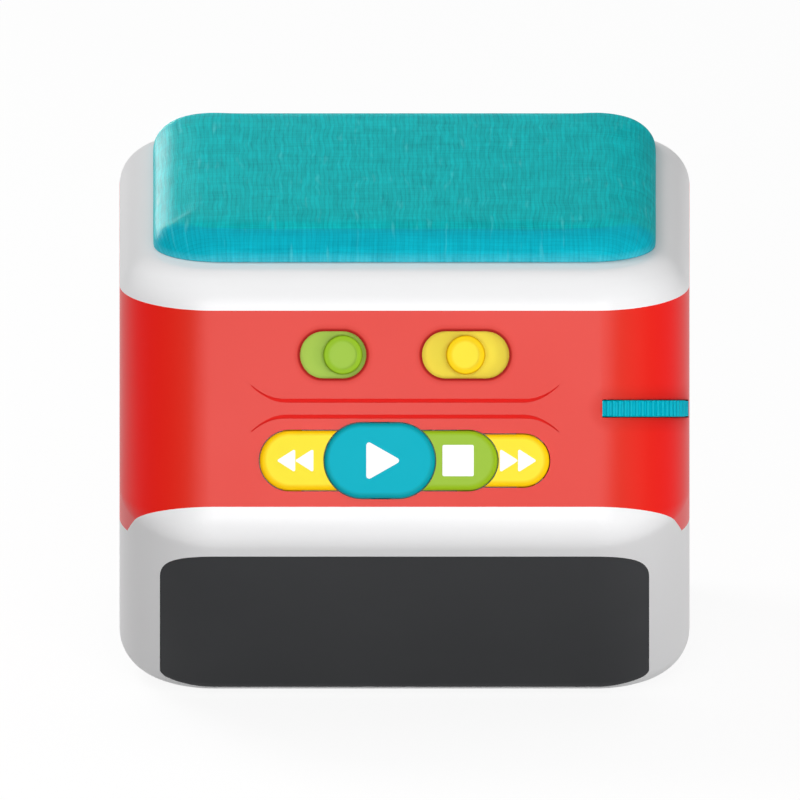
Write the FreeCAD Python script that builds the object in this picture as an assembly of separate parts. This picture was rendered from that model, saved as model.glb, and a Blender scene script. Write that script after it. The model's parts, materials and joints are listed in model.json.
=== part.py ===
import FreeCAD
import Part
import math
import os
from FreeCAD import Placement, Rotation, Vector

# Audio story player, in millimetres.
# World frame: +X to the right, +Y to the back, +Z up. The origin is the middle of the
# footprint, on the plane that the rubber feet stand on.
# Face frame: x to the right, y into the control face, z up along the leaning face.
# Its origin is the sharp corner where the control face would meet the chin.

# ---- housing -------------------------------------------------------------------------
width = 120.0
deck_depth = 124.0          # sharp front edge of the deck to the back wall
face_length = 55.3          # sharp chin corner to the sharp deck edge, along the face
chin_height = 44.5          # sharp chin corner above the base
lean = 15.0                 # how far the control face leans back
chin_angle = 47.0           # slope of the chin below the horizontal
corner_radius = 20.0        # upright corners
deck_round = 8.0
chin_round = 8.0
base_round = 9.0
wall = 2.5
foot_height = 1.0
foot_sunk = 1.0
foot_radius = 6.0
foot_side_inset = 22.0
foot_front_gap = 9.0
foot_back_gap = 22.0
fit = 0.1                   # gap between fixed pieces that slip together
slack = 0.3                 # gap round moving pieces

# ---- red control band ----------------------------------------------------------------
band_low = 6.7              # lower edge on the face
band_high = 48.0            # upper edge on the face
band_drop = 14.0            # how steeply the lower edge dips round the front corners
band_wall = 4.0
lip = 2.0                   # how far the band reaches behind the two shells

# ---- pad on the deck -----------------------------------------------------------------
pad_size = 105.8
pad_height = 5.9
pad_corner = 13.5
pad_front_gap = 10.9        # sharp deck edge to the pad
cloth = 0.8
grille_plate = 2.0
grille_rim = 3.0
grille_hole = 1.5
grille_pitch = 5.6
grille_field = 30.0
peg_radius = 2.5
peg_inset = 12.0

# ---- speaker -------------------------------------------------------------------------
speaker_radius = 35.0
speaker_opening = 31.0
speaker_flange = 1.5
speaker_drop = 16.0
speaker_throat = 15.0
gasket = 1.0
magnet_radius = 22.0
magnet_height = 12.0
cone_radius = 26.5
cone_wall = 0.6
coil_radius = 9.0
speaker_screw_angles = (45.0, 135.0, 225.0, 315.0)

# ---- play buttons --------------------------------------------------------------------
button_row = 16.45
play_length = 23.4
play_height = 15.9
play_offset = -5.2
rewind_height = 12.6
rewind_end = -30.5
stop_height = 12.6
stop_end = 19.65
forward_height = 11.05
forward_end = 30.5
play_proud = 1.2
side_proud = 0.9
forward_proud = 0.6
button_bevel = 0.8
button_gap = 0.2
button_skirt = 3.0          # cap depth behind the face
button_travel = 0.8
stem_radius = 2.0
icon_sunk = 0.5
icon_proud = 0.1
play_icon = 7.5
arrow_icon = 3.95
stop_icon = 6.6

# ---- sliders -------------------------------------------------------------------------
slider_row = 38.7
slot_height = 9.9
power_slot = 13.96
power_slot_x = -15.02
mode_slot = 18.38
mode_slot_x = 12.87
knob_radius = 4.15
knob_dish = 3.0
knob_proud = 0.9
knob_dish_depth = 0.35
apron = 1.0
power_skin = 1.2            # band wall left in front of the power slider's apron
mode_skin = 2.5
apron_margin = 0.2
lever = 1.6

# ---- grooves between the two rows ----------------------------------------------------
groove_width = 0.85
groove_depth = 0.5
upper_groove = 29.05
lower_groove = 25.7
groove_left = -25.1
groove_right = 25.3
groove_flare = 7.2
groove_rise = 3.2
groove_end_width = 0.3

# ---- volume wheel --------------------------------------------------------------------
wheel_radius = 14.5
wheel_thick = 3.5
wheel_x_inset = 14.7        # wheel axis to the side of the housing
wheel_depth = 14.25         # wheel axis behind the face
wheel_gap = 0.15            # slot to the wheel, all round
wheel_row = 27.4
wheel_ribs = 72
rib_depth = 0.45
shaft_radius = 2.0
shaft_clearance = 0.05
pot_radius = 6.5
pot_height = 5.0
shelf = 2.0

# ---- electronics ---------------------------------------------------------------------
board_depth = 11.0
board_thick = 1.6
board_left_inset = 9.5
board_right_gap = 1.6       # board edge to the volume wheel
board_ear = 9.3             # how far the board reaches past that edge, above the wheel
board_low = 8.0
board_high = 45.0
board_post = 3.0
board_pilot = 1.1
switch_size = 6.0
switch_height = 3.4
plunger_radius = 1.7
slide_switch_height = 3.0
processor_share = 0.33      # middles of the parts, as shares of the board's length
memory_share = 0.53
amplifier_share = 0.71
capacitor_share = 0.83
processor_size = 12.0
processor_thick = 1.6
memory_size = 8.0
memory_thick = 1.2
amplifier_size = 6.0
chip_row = 26.0
capacitor_radius = 3.0
capacitor_height = 8.0
capacitor_high = 36.0
capacitor_low = 28.0
socket_length = 6.0
socket_height = 5.0
speaker_socket_drop = 6.0   # below the board's upper edge
battery_socket_inset = 12.5 # from the board's left edge
battery_socket_rise = 6.0   # above its lower edge
lead_radius = 0.6
lead_spread = 1.3           # each lead to the middle of its socket
lead_reach = 8.0            # straight run out of a socket

# ---- chin panel ----------------------------------------------------------------------
panel_side_inset = 8.6
panel_top = 7.2             # below the sharp chin corner, along the slope
panel_bottom_gap = 1.45     # above the sharp base corner, along the slope
panel_corner_x = 11.4
panel_corner_y = 13.5
panel_low_corner_x = 1.6
panel_low_corner_y = 1.4
panel_flange = 1.6
panel_flange_wall = 1.6
reader_side_gap = 19.4      # board edge to the panel's edge
reader_height = 34.0
reader_thick = 1.2
reader_gap = 3.0

# ---- batteries -----------------------------------------------------------------------
cell_radius = 7.25
cell_length = 50.5
cell_count = 4
cell_gap = 0.4
cell_low = 18.0             # underside of the cells above the base
bay_wall = 1.5
bay_flange = 4.5
door_wall = 2.3
door_overlap = 2.4
door_ear = 7.0              # extra door length that carries the screw
contact = 0.4
contact_half = 4.5
contact_rise = 4.0

# ---- fasteners -----------------------------------------------------------------------
screw_radius = 1.5
screw_head = 2.9
screw_head_height = 1.8
post_radius = 4.0
post_bay_gap = 3.0          # posts to the side of the battery bay
post_rows = (0.36, 0.62)    # share of the base's length
small_screw = 1.0
small_head = 1.9
small_head_height = 1.2

# ---- derived places ------------------------------------------------------------------
half = width / 2.0
lean_sin = math.sin(math.radians(lean))
lean_cos = math.cos(math.radians(lean))
chin_sin = math.sin(math.radians(chin_angle))
chin_turn = 90.0 + lean - chin_angle
chin_tangent = chin_round * math.tan(math.radians(chin_turn / 2.0))
front_overhang = chin_round * (lean_cos - 1.0) + chin_tangent * lean_sin
total_depth = face_length * lean_sin + deck_depth - front_overhang
base_z = foot_height
chin_y = -total_depth / 2.0 - front_overhang
chin_z = base_z + chin_height
back_y = total_depth / 2.0
deck_z = chin_z + face_length * lean_cos
deck_front_y = chin_y + face_length * lean_sin
base_front_y = chin_y + chin_height / math.tan(math.radians(chin_angle))
base_flat_y = base_front_y + base_round * math.tan(math.radians(chin_angle / 2.0))
pad_y = deck_front_y + pad_front_gap + pad_size / 2.0
reader_length = width - 2.0 * (panel_side_inset + reader_side_gap)
band_top_z = chin_z + band_high * lean_cos
face_place = Placement(Vector(0, chin_y, chin_z), Rotation(Vector(1, 0, 0), -lean))
chin_place = Placement(Vector(0, chin_y, chin_z), Rotation(Vector(1, 0, 0), 90.0 - chin_angle))


def box(x_span, y_span, z_span):
    """A box from the two ends of its extent along each axis."""
    corner = Vector(x_span[0], y_span[0], z_span[0])
    size = [span[1] - span[0] for span in (x_span, y_span, z_span)]
    return Part.makeBox(size[0], size[1], size[2], corner)


def rod(radius, start, end):
    """A round bar between two points."""
    run = end.sub(start)
    return Part.makeCylinder(radius, run.Length, start, run)


def profile_prism(points, reach):
    """A closed outline in the YZ plane, carried across the width from -reach to +reach."""
    loop = [Vector(-reach, y, z) for y, z in points]
    loop.append(loop[0])
    return Part.Face(Part.makePolygon(loop)).extrude(Vector(2.0 * reach, 0, 0))


def union(shapes):
    whole = shapes[0]
    if len(shapes) > 1:
        whole = whole.multiFuse(shapes[1:])
    return whole.removeSplitter()


def on_face(shape):
    moved = shape.copy()
    moved.Placement = face_place.multiply(moved.Placement)
    return moved


def face_point(x, depth, rise):
    return face_place.multVec(Vector(x, depth, rise))


def rounded_outline(length, height, high, low):
    """A rectangle about the origin of the XZ plane with oval corners, as a wire.

    Each corner size is a pair: half the oval's length and half its height.
    """
    edges = []
    corners = ((1, 1, 0, high), (-1, 1, 90, high), (-1, -1, 180, low), (1, -1, 270, low))
    for side_x, side_z, start, corner in corners:
        middle = Vector(side_x * (length / 2.0 - corner[0]), side_z * (height / 2.0 - corner[1]), 0)
        turn = 0
        if corner[0] >= corner[1]:
            oval = Part.Ellipse(middle, corner[0], corner[1])
        else:
            # a taller oval has its long axis upright, a quarter turn further on
            turn = -90
            oval = Part.Ellipse(middle.add(Vector(0, corner[1], 0)),
                                middle.sub(Vector(corner[0], 0, 0)), middle)
        arc = Part.ArcOfEllipse(oval, math.radians(start + turn), math.radians(start + turn + 90))
        edges.append(arc.toShape())
    joined = []
    for index, edge in enumerate(edges):
        joined.append(edge)
        after = edges[(index + 1) % 4]
        joined.append(Part.makeLine(edge.valueAt(edge.LastParameter), after.valueAt(after.FirstParameter)))
    wire = Part.Wire(joined)
    wire.rotate(Vector(0, 0, 0), Vector(1, 0, 0), 90)
    return wire


def stadium(left, right, height, middle, y_span):
    """A bar with round ends in the face frame, between two x values."""
    radius = height / 2.0
    ends = [rod(radius, Vector(x, y_span[0], middle), Vector(x, y_span[1], middle))
            for x in (left + radius, right - radius)]
    bar = box((left + radius, right - radius), y_span, (middle - radius, middle + radius))
    return union([bar] + ends)


def edges_at(shape, y):
    """The edges of a face-frame shape that lie in one plane of constant y."""
    return [edge for edge in shape.Edges
            if all(abs(vertex.Point.y - y) < 1e-6 for vertex in edge.Vertexes)
            and abs(edge.BoundBox.YLength) < 1e-4]


# ---- housing -------------------------------------------------------------------------
def inward(points, distance):
    """A closed outline with every side moved inwards by a distance."""
    count = len(points)
    lines = []
    for index in range(count):
        y0, z0 = points[index]
        y1, z1 = points[(index + 1) % count]
        length = math.hypot(y1 - y0, z1 - z0)
        run_y = (y1 - y0) / length
        run_z = (z1 - z0) / length
        lines.append((y0 + run_z * distance, z0 - run_y * distance, run_y, run_z))
    moved = []
    for index in range(count):
        y0, z0, run_y0, run_z0 = lines[index - 1]
        y1, z1, run_y1, run_z1 = lines[index]
        cross = run_y0 * run_z1 - run_z0 * run_y1
        along = ((y1 - y0) * run_z1 - (z1 - z0) * run_y1) / cross
        moved.append((y0 + run_y0 * along, z0 + run_z0 * along))
    return moved


def lies_on(edge, start, end):
    """True for an edge of the housing that lies over one side of its outline."""
    length = math.hypot(end[0] - start[0], end[1] - start[1])
    span = edge.LastParameter - edge.FirstParameter
    for share in (0.0, 0.3, 0.7, 1.0):
        point = edge.valueAt(edge.FirstParameter + span * share)
        off = (point.y - start[0]) * (end[1] - start[1]) - (point.z - start[1]) * (end[0] - start[0])
        if abs(off) / length > 1e-4:
            return False
    return True


housings = {}


def housing(inset):
    """The rounded outer body, or the same body a distance inside it."""
    if inset in housings:
        return housings[inset]
    outline = [
        (base_front_y, base_z),
        (chin_y, chin_z),
        (deck_front_y, deck_z),
        (back_y, deck_z),
        (back_y, base_z),
    ]
    base, chin, deck, back_top, back_base = inward(outline, inset)
    reach = half - inset
    solid = profile_prism([base, chin, deck, back_top, back_base], reach)
    sides = [edge for edge in solid.Edges
             if lies_on(edge, base, chin) or lies_on(edge, chin, deck)
             or lies_on(edge, back_top, back_base)]
    sides = [edge for edge in sides
             if abs(edge.Vertexes[0].Point.x - edge.Vertexes[-1].Point.x) < 1e-6]
    solid = solid.makeFillet(corner_radius - inset, sides)
    top_loop = [edge for edge in solid.Edges if lies_on(edge, deck, back_top)]
    solid = solid.makeFillet(deck_round - inset, top_loop)
    chin_edge = [edge for edge in solid.Edges
                 if all(math.hypot(vertex.Point.y - chin[0], vertex.Point.z - chin[1]) < 1e-4
                        for vertex in edge.Vertexes)]
    solid = solid.makeFillet(chin_round - inset, chin_edge)
    base_loop = [edge for edge in solid.Edges if lies_on(edge, back_base, base)]
    solid = solid.makeFillet(base_round - inset, base_loop)
    housings[inset] = solid
    return solid


def skin(outer_inset, inner_inset):
    return housing(outer_inset).cut(housing(inner_inset))


def band_edge(shift):
    """The band's lower edge from front to back, as YZ points."""
    start = face_point(0, 0, band_low)
    dip = corner_radius * math.tan(math.radians(band_drop))
    bend = face_point(0, corner_radius, band_low - dip)
    slope = (bend.z - start.z) / (bend.y - start.y)
    ahead = 40.0
    return [
        (start.y - ahead, start.z - slope * ahead + shift),
        (bend.y, bend.z + shift),
        (back_y + ahead, bend.z + shift),
    ]


def band_zone(grow):
    """Everything between the band's two edges, each moved outwards by a distance."""
    low = band_edge(-grow)
    high = band_top_z + grow
    return profile_prism(low + [(low[2][0], high), (low[0][0], high)], width)


def below_band():
    low = band_edge(0.0)
    floor = base_z - 20.0
    return profile_prism(low + [(low[2][0], floor), (low[0][0], floor)], width)


def above_band():
    reach = (-total_depth, total_depth)
    return box((-width, width), reach, (band_top_z, band_top_z + width))


def panel_prism(grow, depth_span):
    """The chin panel's outline, carried square through the slope of the chin."""
    top = panel_top
    bottom = chin_height / chin_sin - panel_bottom_gap
    wire = rounded_outline(width - 2.0 * panel_side_inset + 2.0 * grow, bottom - top + 2.0 * grow,
                           (panel_corner_x + grow, panel_corner_y + grow),
                           (panel_low_corner_x + grow, panel_low_corner_y + grow))
    wire.translate(Vector(0, depth_span[0], -(top + bottom) / 2.0))
    prism = Part.Face(wire).extrude(Vector(0, depth_span[1] - depth_span[0], 0))
    prism.Placement = chin_place.multiply(prism.Placement)
    return prism


def post_places():
    length = back_y - base_flat_y
    reach = bay_half() + bay_wall + door_ear / 2.0 + post_bay_gap + post_radius
    return [(side * reach, base_flat_y + share * length)
            for side in (-1, 1) for share in post_rows]


def foot_places():
    return [(side * (half - foot_side_inset), y)
            for side in (-1, 1) for y in (base_flat_y + foot_front_gap, back_y - foot_back_gap)]


post_split_z = band_edge(0.0)[1][1] + lip
screw_pocket_z = base_z + wall + 4.0


def lower_shell():
    shell = skin(0.0, wall).common(below_band())
    floor_z = base_z + wall
    parts = [shell]
    for x, y in post_places():
        parts.append(rod(post_radius, Vector(x, y, floor_z - 0.5), Vector(x, y, post_split_z)))
    for side in (-1, 1):
        rib_x = bay_x() + side * bay_half() * 0.7
        parts.append(box((rib_x - 1.0, rib_x + 1.0), (bay_front() + 4.0, back_y - 16.0),
                         (floor_z - 0.5, bay_low())))
    shell = union(parts)
    holes = []
    for x, y in post_places():
        holes.append(rod(screw_radius + fit, Vector(x, y, base_z), Vector(x, y, post_split_z)))
        holes.append(rod(screw_head + slack, Vector(x, y, base_z - 1.0), Vector(x, y, screw_pocket_z)))
    for x, y in foot_places():
        holes.append(rod(foot_radius, Vector(x, y, base_z - 1.0), Vector(x, y, base_z + foot_sunk)))
    holes.append(panel_prism(fit, (-10.0, panel_depth())))
    holes.append(door_block(slack, (back_y - wall - 1.0, back_y + 5.0)))
    return shell.cut(union(holes))


def upper_shell():
    shell = skin(0.0, wall).common(above_band())
    under = deck_z - wall
    parts = [shell]
    for x, y in post_places():
        parts.append(rod(post_radius, Vector(x, y, post_split_z), Vector(x, y, under + 0.5)))
    shell = union(parts)
    holes = [rod(speaker_opening, Vector(0, pad_y, under - 1.0), Vector(0, pad_y, deck_z + 1.0))]
    for x, y in post_places():
        holes.append(rod(screw_radius, Vector(x, y, post_split_z), Vector(x, y, post_split_z + 12.0)))
    for x, y in speaker_screw_places():
        holes.append(rod(small_screw, Vector(x, y, under - 1.0), Vector(x, y, under + 1.2)))
    for x, y in peg_places():
        holes.append(rod(peg_radius + fit, Vector(x, y, under - 1.0), Vector(x, y, deck_z + 1.0)))
    return shell.cut(union(holes))


def housing_screws():
    """Four long screws from the underside, up through the posts into the upper shell."""
    screws = []
    for x, y in post_places():
        head_z = screw_pocket_z - screw_head_height
        head = rod(screw_head, Vector(x, y, head_z), Vector(x, y, screw_pocket_z))
        shank = rod(screw_radius, Vector(x, y, head_z), Vector(x, y, post_split_z + 10.0))
        cross = box((x - 2.0, x + 2.0), (y - 0.4, y + 0.4), (head_z, head_z + 0.9))
        cross = cross.fuse(box((x - 0.4, x + 0.4), (y - 2.0, y + 2.0), (head_z, head_z + 0.9)))
        screws.append(head.fuse(shank).cut(cross))
    return Part.makeCompound(screws)


def rubber_feet():
    feet = []
    for x, y in foot_places():
        foot = rod(foot_radius, Vector(x, y, 0), Vector(x, y, base_z + foot_sunk))
        edge = [item for item in foot.Edges if item.BoundBox.ZMax < 1e-6]
        feet.append(foot.makeFillet(0.4, edge))
    return Part.makeCompound(feet)


def panel_depth():
    """Far enough behind the chin to pass through the wall of its rounded sides."""
    reach = corner_radius - panel_side_inset + panel_flange
    return corner_radius - math.sqrt(corner_radius ** 2 - reach ** 2) + wall + panel_flange_wall + 2.0


def chin_panel():
    """Dark window that follows the chin's skin, with a flange glued behind the opening."""
    window = housing(0.0).common(panel_prism(0.0, (-10.0, panel_depth())))
    flange = housing(wall + fit).common(panel_prism(panel_flange, (-10.0, panel_depth())))
    panel = window.fuse(flange).cut(housing(wall + panel_flange_wall))
    posts = []
    for x, rise in reader_post_places():
        start = chin_place.multVec(Vector(x, wall + 1.0, rise))
        end = chin_place.multVec(Vector(x, reader_depth(), rise))
        posts.append(rod(2.0, start, end))
    return union([panel] + posts)


def reader_depth():
    return wall + panel_flange_wall + reader_gap


def reader_middle():
    return -(panel_top + chin_height / chin_sin - panel_bottom_gap) / 2.0


def reader_post_places():
    reach_x = reader_length / 2.0 - 5.0
    reach_z = reader_height / 2.0 - 5.0
    return [(side_x * reach_x, reader_middle() + side_z * reach_z)
            for side_x in (-1, 1) for side_z in (-1, 1)]


def reader_board():
    """Circuit board with a loop aerial, on four posts behind the chin panel."""
    low = reader_middle() - reader_height / 2.0
    depth = reader_depth()
    board = box((-reader_length / 2.0, reader_length / 2.0), (depth, depth + reader_thick),
                (low, low + reader_height))
    chip = box((-6.0, 6.0), (depth + reader_thick, depth + reader_thick + 1.4),
               (reader_middle() - 4.0, reader_middle() + 4.0))
    board = union([board, chip])
    board.Placement = chin_place.multiply(board.Placement)
    return board


# ---- red control band ----------------------------------------------------------------
def cluster_shapes(grow, y_span):
    """The outlines of the four nested buttons, each grown by the same margin."""
    play_left = play_offset - play_length / 2.0
    play_right = play_offset + play_length / 2.0
    return {
        "rewind": stadium(rewind_end - grow, play_left + rewind_height + grow,
                          rewind_height + 2.0 * grow, button_row, y_span),
        "play": stadium(play_left - grow, play_right + grow,
                        play_height + 2.0 * grow, button_row, y_span),
        "stop": stadium(play_right - stop_height - grow, stop_end + grow,
                        stop_height + 2.0 * grow, button_row, y_span),
        "forward": stadium(stop_end - forward_height - grow, forward_end + grow,
                           forward_height + 2.0 * grow, button_row, y_span),
    }


def groove(row, turn):
    """One engraved line whose two ends flare away and thin out."""
    cut_span = (-1.0, groove_depth)
    wide = groove_width / 2.0
    thin = groove_end_width / 2.0
    upper = []
    lower = []
    steps = 8
    for side, start in ((-1, groove_left), (1, groove_right)):
        for step in range(steps + 1):
            share = step / steps
            x = start + side * groove_flare * share
            middle = row + turn * groove_rise * share * share
            spread = wide + (thin - wide) * share
            upper.append((x, middle + spread))
            lower.append((x, middle - spread))
    upper.sort()
    lower.sort()
    loop = [Vector(x, cut_span[0], z) for x, z in upper + lower[::-1]]
    loop.append(loop[0])
    return Part.Face(Part.makePolygon(loop)).extrude(Vector(0, cut_span[1] - cut_span[0], 0))


def wheel_centre():
    return Vector(half - wheel_x_inset, wheel_depth, wheel_row)


def wheel_room(grow, row_grow):
    centre = wheel_centre()
    low = centre.add(Vector(0, 0, -wheel_thick / 2.0 - row_grow))
    return Part.makeCylinder(wheel_radius + grow, wheel_thick + 2.0 * row_grow, low, Vector(0, 0, 1))


def apron_reach(slot):
    """Half the length of the plate that hides a slot wherever its knob stands."""
    return slot / 2.0 + (slot - slot_height) / 2.0 + apron_margin


def slider_pocket(slot, slot_x, skin_left):
    travel = slot - slot_height
    reach = apron_reach(slot) + travel / 2.0 + slack
    tall = slot_height / 2.0 + 1.2 + slack
    return box((slot_x - reach, slot_x + reach), (skin_left, band_wall + 1.0),
               (slider_row - tall, slider_row + tall))


def board_right():
    return wheel_centre().x - wheel_radius - board_right_gap


def board_post_places():
    """Three corners of the board, and one between the sliders and the buttons."""
    inset = board_post + 0.5
    left = -half + board_left_inset + inset
    return [(left, board_low + inset), (left, board_high - inset),
            (board_right() - inset, wheel_row),
            (board_right() + board_ear - inset, board_high - inset)]


def control_band():
    """The red ring round the housing, with the control face's openings."""
    ring = housing(0.0).common(band_zone(0.0))
    ring = ring.fuse(housing(wall + fit).common(band_zone(lip)))
    kept = [volume_shelf()]
    for x, rise in board_post_places():
        kept.append(on_face(rod(board_post, Vector(x, wall, rise), Vector(x, board_depth, rise))))
    ring = ring.cut(housing(band_wall).cut(union(kept)))
    cuts = [groove(upper_groove, 1), groove(lower_groove, -1)]
    through = (-5.0, band_wall + 1.0)
    cuts += list(cluster_shapes(button_gap, through).values())
    cuts.append(stadium(power_slot_x - power_slot / 2.0, power_slot_x + power_slot / 2.0,
                        slot_height, slider_row, through))
    cuts.append(stadium(mode_slot_x - mode_slot / 2.0, mode_slot_x + mode_slot / 2.0,
                        slot_height, slider_row, through))
    cuts.append(slider_pocket(power_slot, power_slot_x, power_skin))
    cuts.append(slider_pocket(mode_slot, mode_slot_x, mode_skin))
    cuts.append(wheel_room(wheel_gap, wheel_gap))
    centre = wheel_centre()
    cuts.append(rod(shaft_radius + shaft_clearance, centre.add(Vector(0, 0, -30)), centre))
    for x, rise in board_post_places():
        cuts.append(rod(board_pilot, Vector(x, board_depth - 5.0, rise), Vector(x, board_depth, rise)))
    return ring.cut(union([on_face(cut) for cut in cuts]))


def volume_shelf():
    """A shelf inside the front right corner that the volume control hangs from."""
    centre = wheel_centre()
    top = wheel_row - wheel_thick / 2.0 - slack
    pad = rod(pot_radius + 1.5, Vector(centre.x, centre.y, top - shelf), Vector(centre.x, centre.y, top))
    arm = box((centre.x - 4.0, half), (centre.y - 5.0, centre.y + 5.0), (top - shelf, top))
    block = on_face(union([pad, arm]))
    return block.common(housing(wall))


# ---- buttons -------------------------------------------------------------------------
def cap_blank(name, proud):
    """A button cap before its neighbour is cleared out of it: bevelled on its outer face."""
    y_span = (-proud, button_skirt)
    cap = cluster_shapes(0.0, y_span)[name]
    return cap.makeFillet(button_bevel, edges_at(cap, -proud))


def stem_middle(name):
    play_left = play_offset - play_length / 2.0
    play_right = play_offset + play_length / 2.0
    return {
        "rewind": (rewind_end + play_left) / 2.0,
        "play": play_offset,
        "stop": (play_right + stop_end) / 2.0,
        "forward": (stop_end + forward_end) / 2.0 + 0.5,
    }[name]


def switch_front():
    return board_depth - switch_height


def plunger_front():
    return switch_front() - 1.0


def button(name, proud, height, neighbour):
    """One key: cap, two keeper lugs behind the band and a stem on its switch."""
    cap = cap_blank(name, proud)
    if neighbour:
        room = cluster_shapes(button_gap, (-5.0, button_skirt + 1.0))[neighbour]
        cap = cap.cut(room)
    middle = stem_middle(name)
    lug_start = band_wall + slack
    web = box((middle - stem_radius, middle + stem_radius), (button_skirt - 0.5, lug_start + 1.2),
              (button_row - height / 2.0 + 0.4, button_row + height / 2.0 - 0.4))
    lugs = box((middle - stem_radius, middle + stem_radius), (lug_start, lug_start + 1.2),
               (button_row - height / 2.0 - 1.4, button_row + height / 2.0 + 1.4))
    stem = rod(stem_radius, Vector(middle, button_skirt - 0.5, button_row),
               Vector(middle, plunger_front(), button_row))
    key = union([cap, web, lugs, stem])
    for shape in icon_prisms(name):
        shape.translate(Vector(0, -proud + icon_sunk, 0))
        key = key.cut(shape)
    return on_face(key)


def soft_polygon(points, radius, depth):
    """A polygon in the XZ plane with rounded corners, reaching forwards by a depth."""
    loop = [Vector(x, 0, z) for x, z in points]
    loop.append(loop[0])
    prism = Part.Face(Part.makePolygon(loop)).extrude(Vector(0, -depth, 0))
    corners = [edge for edge in prism.Edges
               if abs(abs(edge.tangentAt(edge.FirstParameter).y) - 1.0) < 1e-6]
    return prism.makeFillet(radius, corners)


def icon_prisms(name):
    """The raised sign of a key, standing on y = 0 and reaching forwards."""
    deep = icon_sunk + icon_proud
    row = button_row
    if name == "play":
        tall = play_icon * 1.13 / 2.0
        left = play_offset - play_icon / 2.0 + 0.9
        tip = left + play_icon
        return [soft_polygon([(left, row - tall), (tip, row), (left, row + tall)], 0.6, deep)]
    if name == "stop":
        reach = stop_icon / 2.0
        x = (play_offset + play_length / 2.0 + stop_end) / 2.0 - 1.8
        square = [(x - reach, row - reach), (x + reach, row - reach),
                  (x + reach, row + reach), (x - reach, row + reach)]
        return [soft_polygon(square, 0.35, deep)]
    tall = arrow_icon * 1.27 / 2.0
    if name == "rewind":
        tip = rewind_end + 3.54
        way = 1
    else:
        tip = forward_end - 2.65
        way = -1
    arrows = []
    for index in range(2):
        start = tip + way * index * arrow_icon * 0.97
        end = start + way * arrow_icon
        arrows.append(soft_polygon([(start, row), (end, row - tall), (end, row + tall)], 0.3, deep))
    return [union(arrows)]


def icon(name, proud):
    shapes = icon_prisms(name)
    for shape in shapes:
        shape.translate(Vector(0, -proud + icon_sunk, 0))
    return on_face(union(shapes))


def plunger(name):
    x = stem_middle(name)
    return on_face(rod(plunger_radius, Vector(x, plunger_front(), button_row),
                       Vector(x, board_depth - 1.2, button_row)))


def key_switches():
    """Four push switches on the board, each with a well for its plunger."""
    bodies = []
    reach = switch_size / 2.0
    for name in ("rewind", "play", "stop", "forward"):
        x = stem_middle(name)
        body = box((x - reach, x + reach), (switch_front(), board_depth),
                   (button_row - reach, button_row + reach))
        well = rod(plunger_radius + shaft_clearance, Vector(x, switch_front() - 1.0, button_row),
                   Vector(x, board_depth - 1.2 + button_travel + 0.1, button_row))
        bodies.append(on_face(body.cut(well)))
    return Part.makeCompound(bodies)


# ---- sliders -------------------------------------------------------------------------
def slide_switch_front():
    return board_depth - slide_switch_height


def slider(slot, slot_x, knob_x, skin_left):
    """Knob on a plate that hides the slot, with a socket for the switch lever."""
    front = skin_left + fit
    reach = apron_reach(slot)
    tall = slot_height / 2.0 + 1.0
    plate = box((knob_x - reach, knob_x + reach), (front, front + apron),
                (slider_row - tall, slider_row + tall))
    knob = rod(knob_radius, Vector(knob_x, -knob_proud, slider_row),
               Vector(knob_x, front + 0.2, slider_row))
    knob = knob.makeFillet(0.5, edges_at(knob, -knob_proud))
    dish = rod(knob_dish, Vector(knob_x, -knob_proud - 1.0, slider_row),
               Vector(knob_x, -knob_proud + knob_dish_depth, slider_row))
    socket_end = slide_switch_front() - slack
    socket = box((knob_x - 2.2, knob_x + 2.2), (front + apron - 0.2, socket_end),
                 (slider_row - 2.2, slider_row + 2.2))
    hole = box((knob_x - lever / 2.0 - fit, knob_x + lever / 2.0 + fit),
               (socket_end - 2.0, socket_end + 1.0),
               (slider_row - lever / 2.0 - fit, slider_row + lever / 2.0 + fit))
    return on_face(union([plate, knob, socket]).cut(dish).cut(hole))


def slide_switch(slot, slot_x):
    """Slide switch body with a long well that its lever travels in."""
    travel = slot - slot_height
    reach = travel / 2.0 + lever / 2.0
    body = box((slot_x - reach - 2.0, slot_x + reach + 2.0), (slide_switch_front(), board_depth),
               (slider_row - 3.0, slider_row + 3.0))
    well = box((slot_x - reach - fit, slot_x + reach + fit),
               (slide_switch_front() - 1.0, board_depth - 1.0),
               (slider_row - lever / 2.0 - fit, slider_row + lever / 2.0 + fit))
    return on_face(body.cut(well))


def switch_lever(knob_x):
    socket_end = slide_switch_front() - slack
    return on_face(box((knob_x - lever / 2.0, knob_x + lever / 2.0),
                       (socket_end - 2.0, board_depth - 1.2),
                       (slider_row - lever / 2.0, slider_row + lever / 2.0)))


power_knob_x = power_slot_x + (power_slot - slot_height) / 2.0
mode_knob_x = mode_slot_x


# ---- volume control ------------------------------------------------------------------
def volume_wheel():
    """Thumbwheel with a ribbed rim, on its shaft."""
    points = []
    steps = wheel_ribs * 4
    for step in range(steps):
        angle = 2.0 * math.pi * step / steps
        radius = wheel_radius - (rib_depth if step % 4 in (2, 3) else 0.0)
        points.append(Vector(radius * math.cos(angle), radius * math.sin(angle), 0))
    points.append(points[0])
    wheel = Part.Face(Part.makePolygon(points)).extrude(Vector(0, 0, wheel_thick))
    bore = Part.makeCylinder(shaft_radius + fit / 2.0, wheel_thick)
    wheel = wheel.cut(bore)
    wheel.translate(wheel_centre().add(Vector(0, 0, -wheel_thick / 2.0)))
    return on_face(wheel)


def volume_shaft():
    centre = wheel_centre()
    low = wheel_row - wheel_thick / 2.0 - slack - shelf - pot_height + 1.0
    shaft = rod(shaft_radius, Vector(centre.x, centre.y, low),
                Vector(centre.x, centre.y, wheel_row + wheel_thick / 2.0))
    cap = rod(shaft_radius + 1.2, Vector(centre.x, centre.y, wheel_row + wheel_thick / 2.0),
              Vector(centre.x, centre.y, wheel_row + wheel_thick / 2.0 + 0.8))
    return on_face(union([shaft, cap]))


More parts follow.
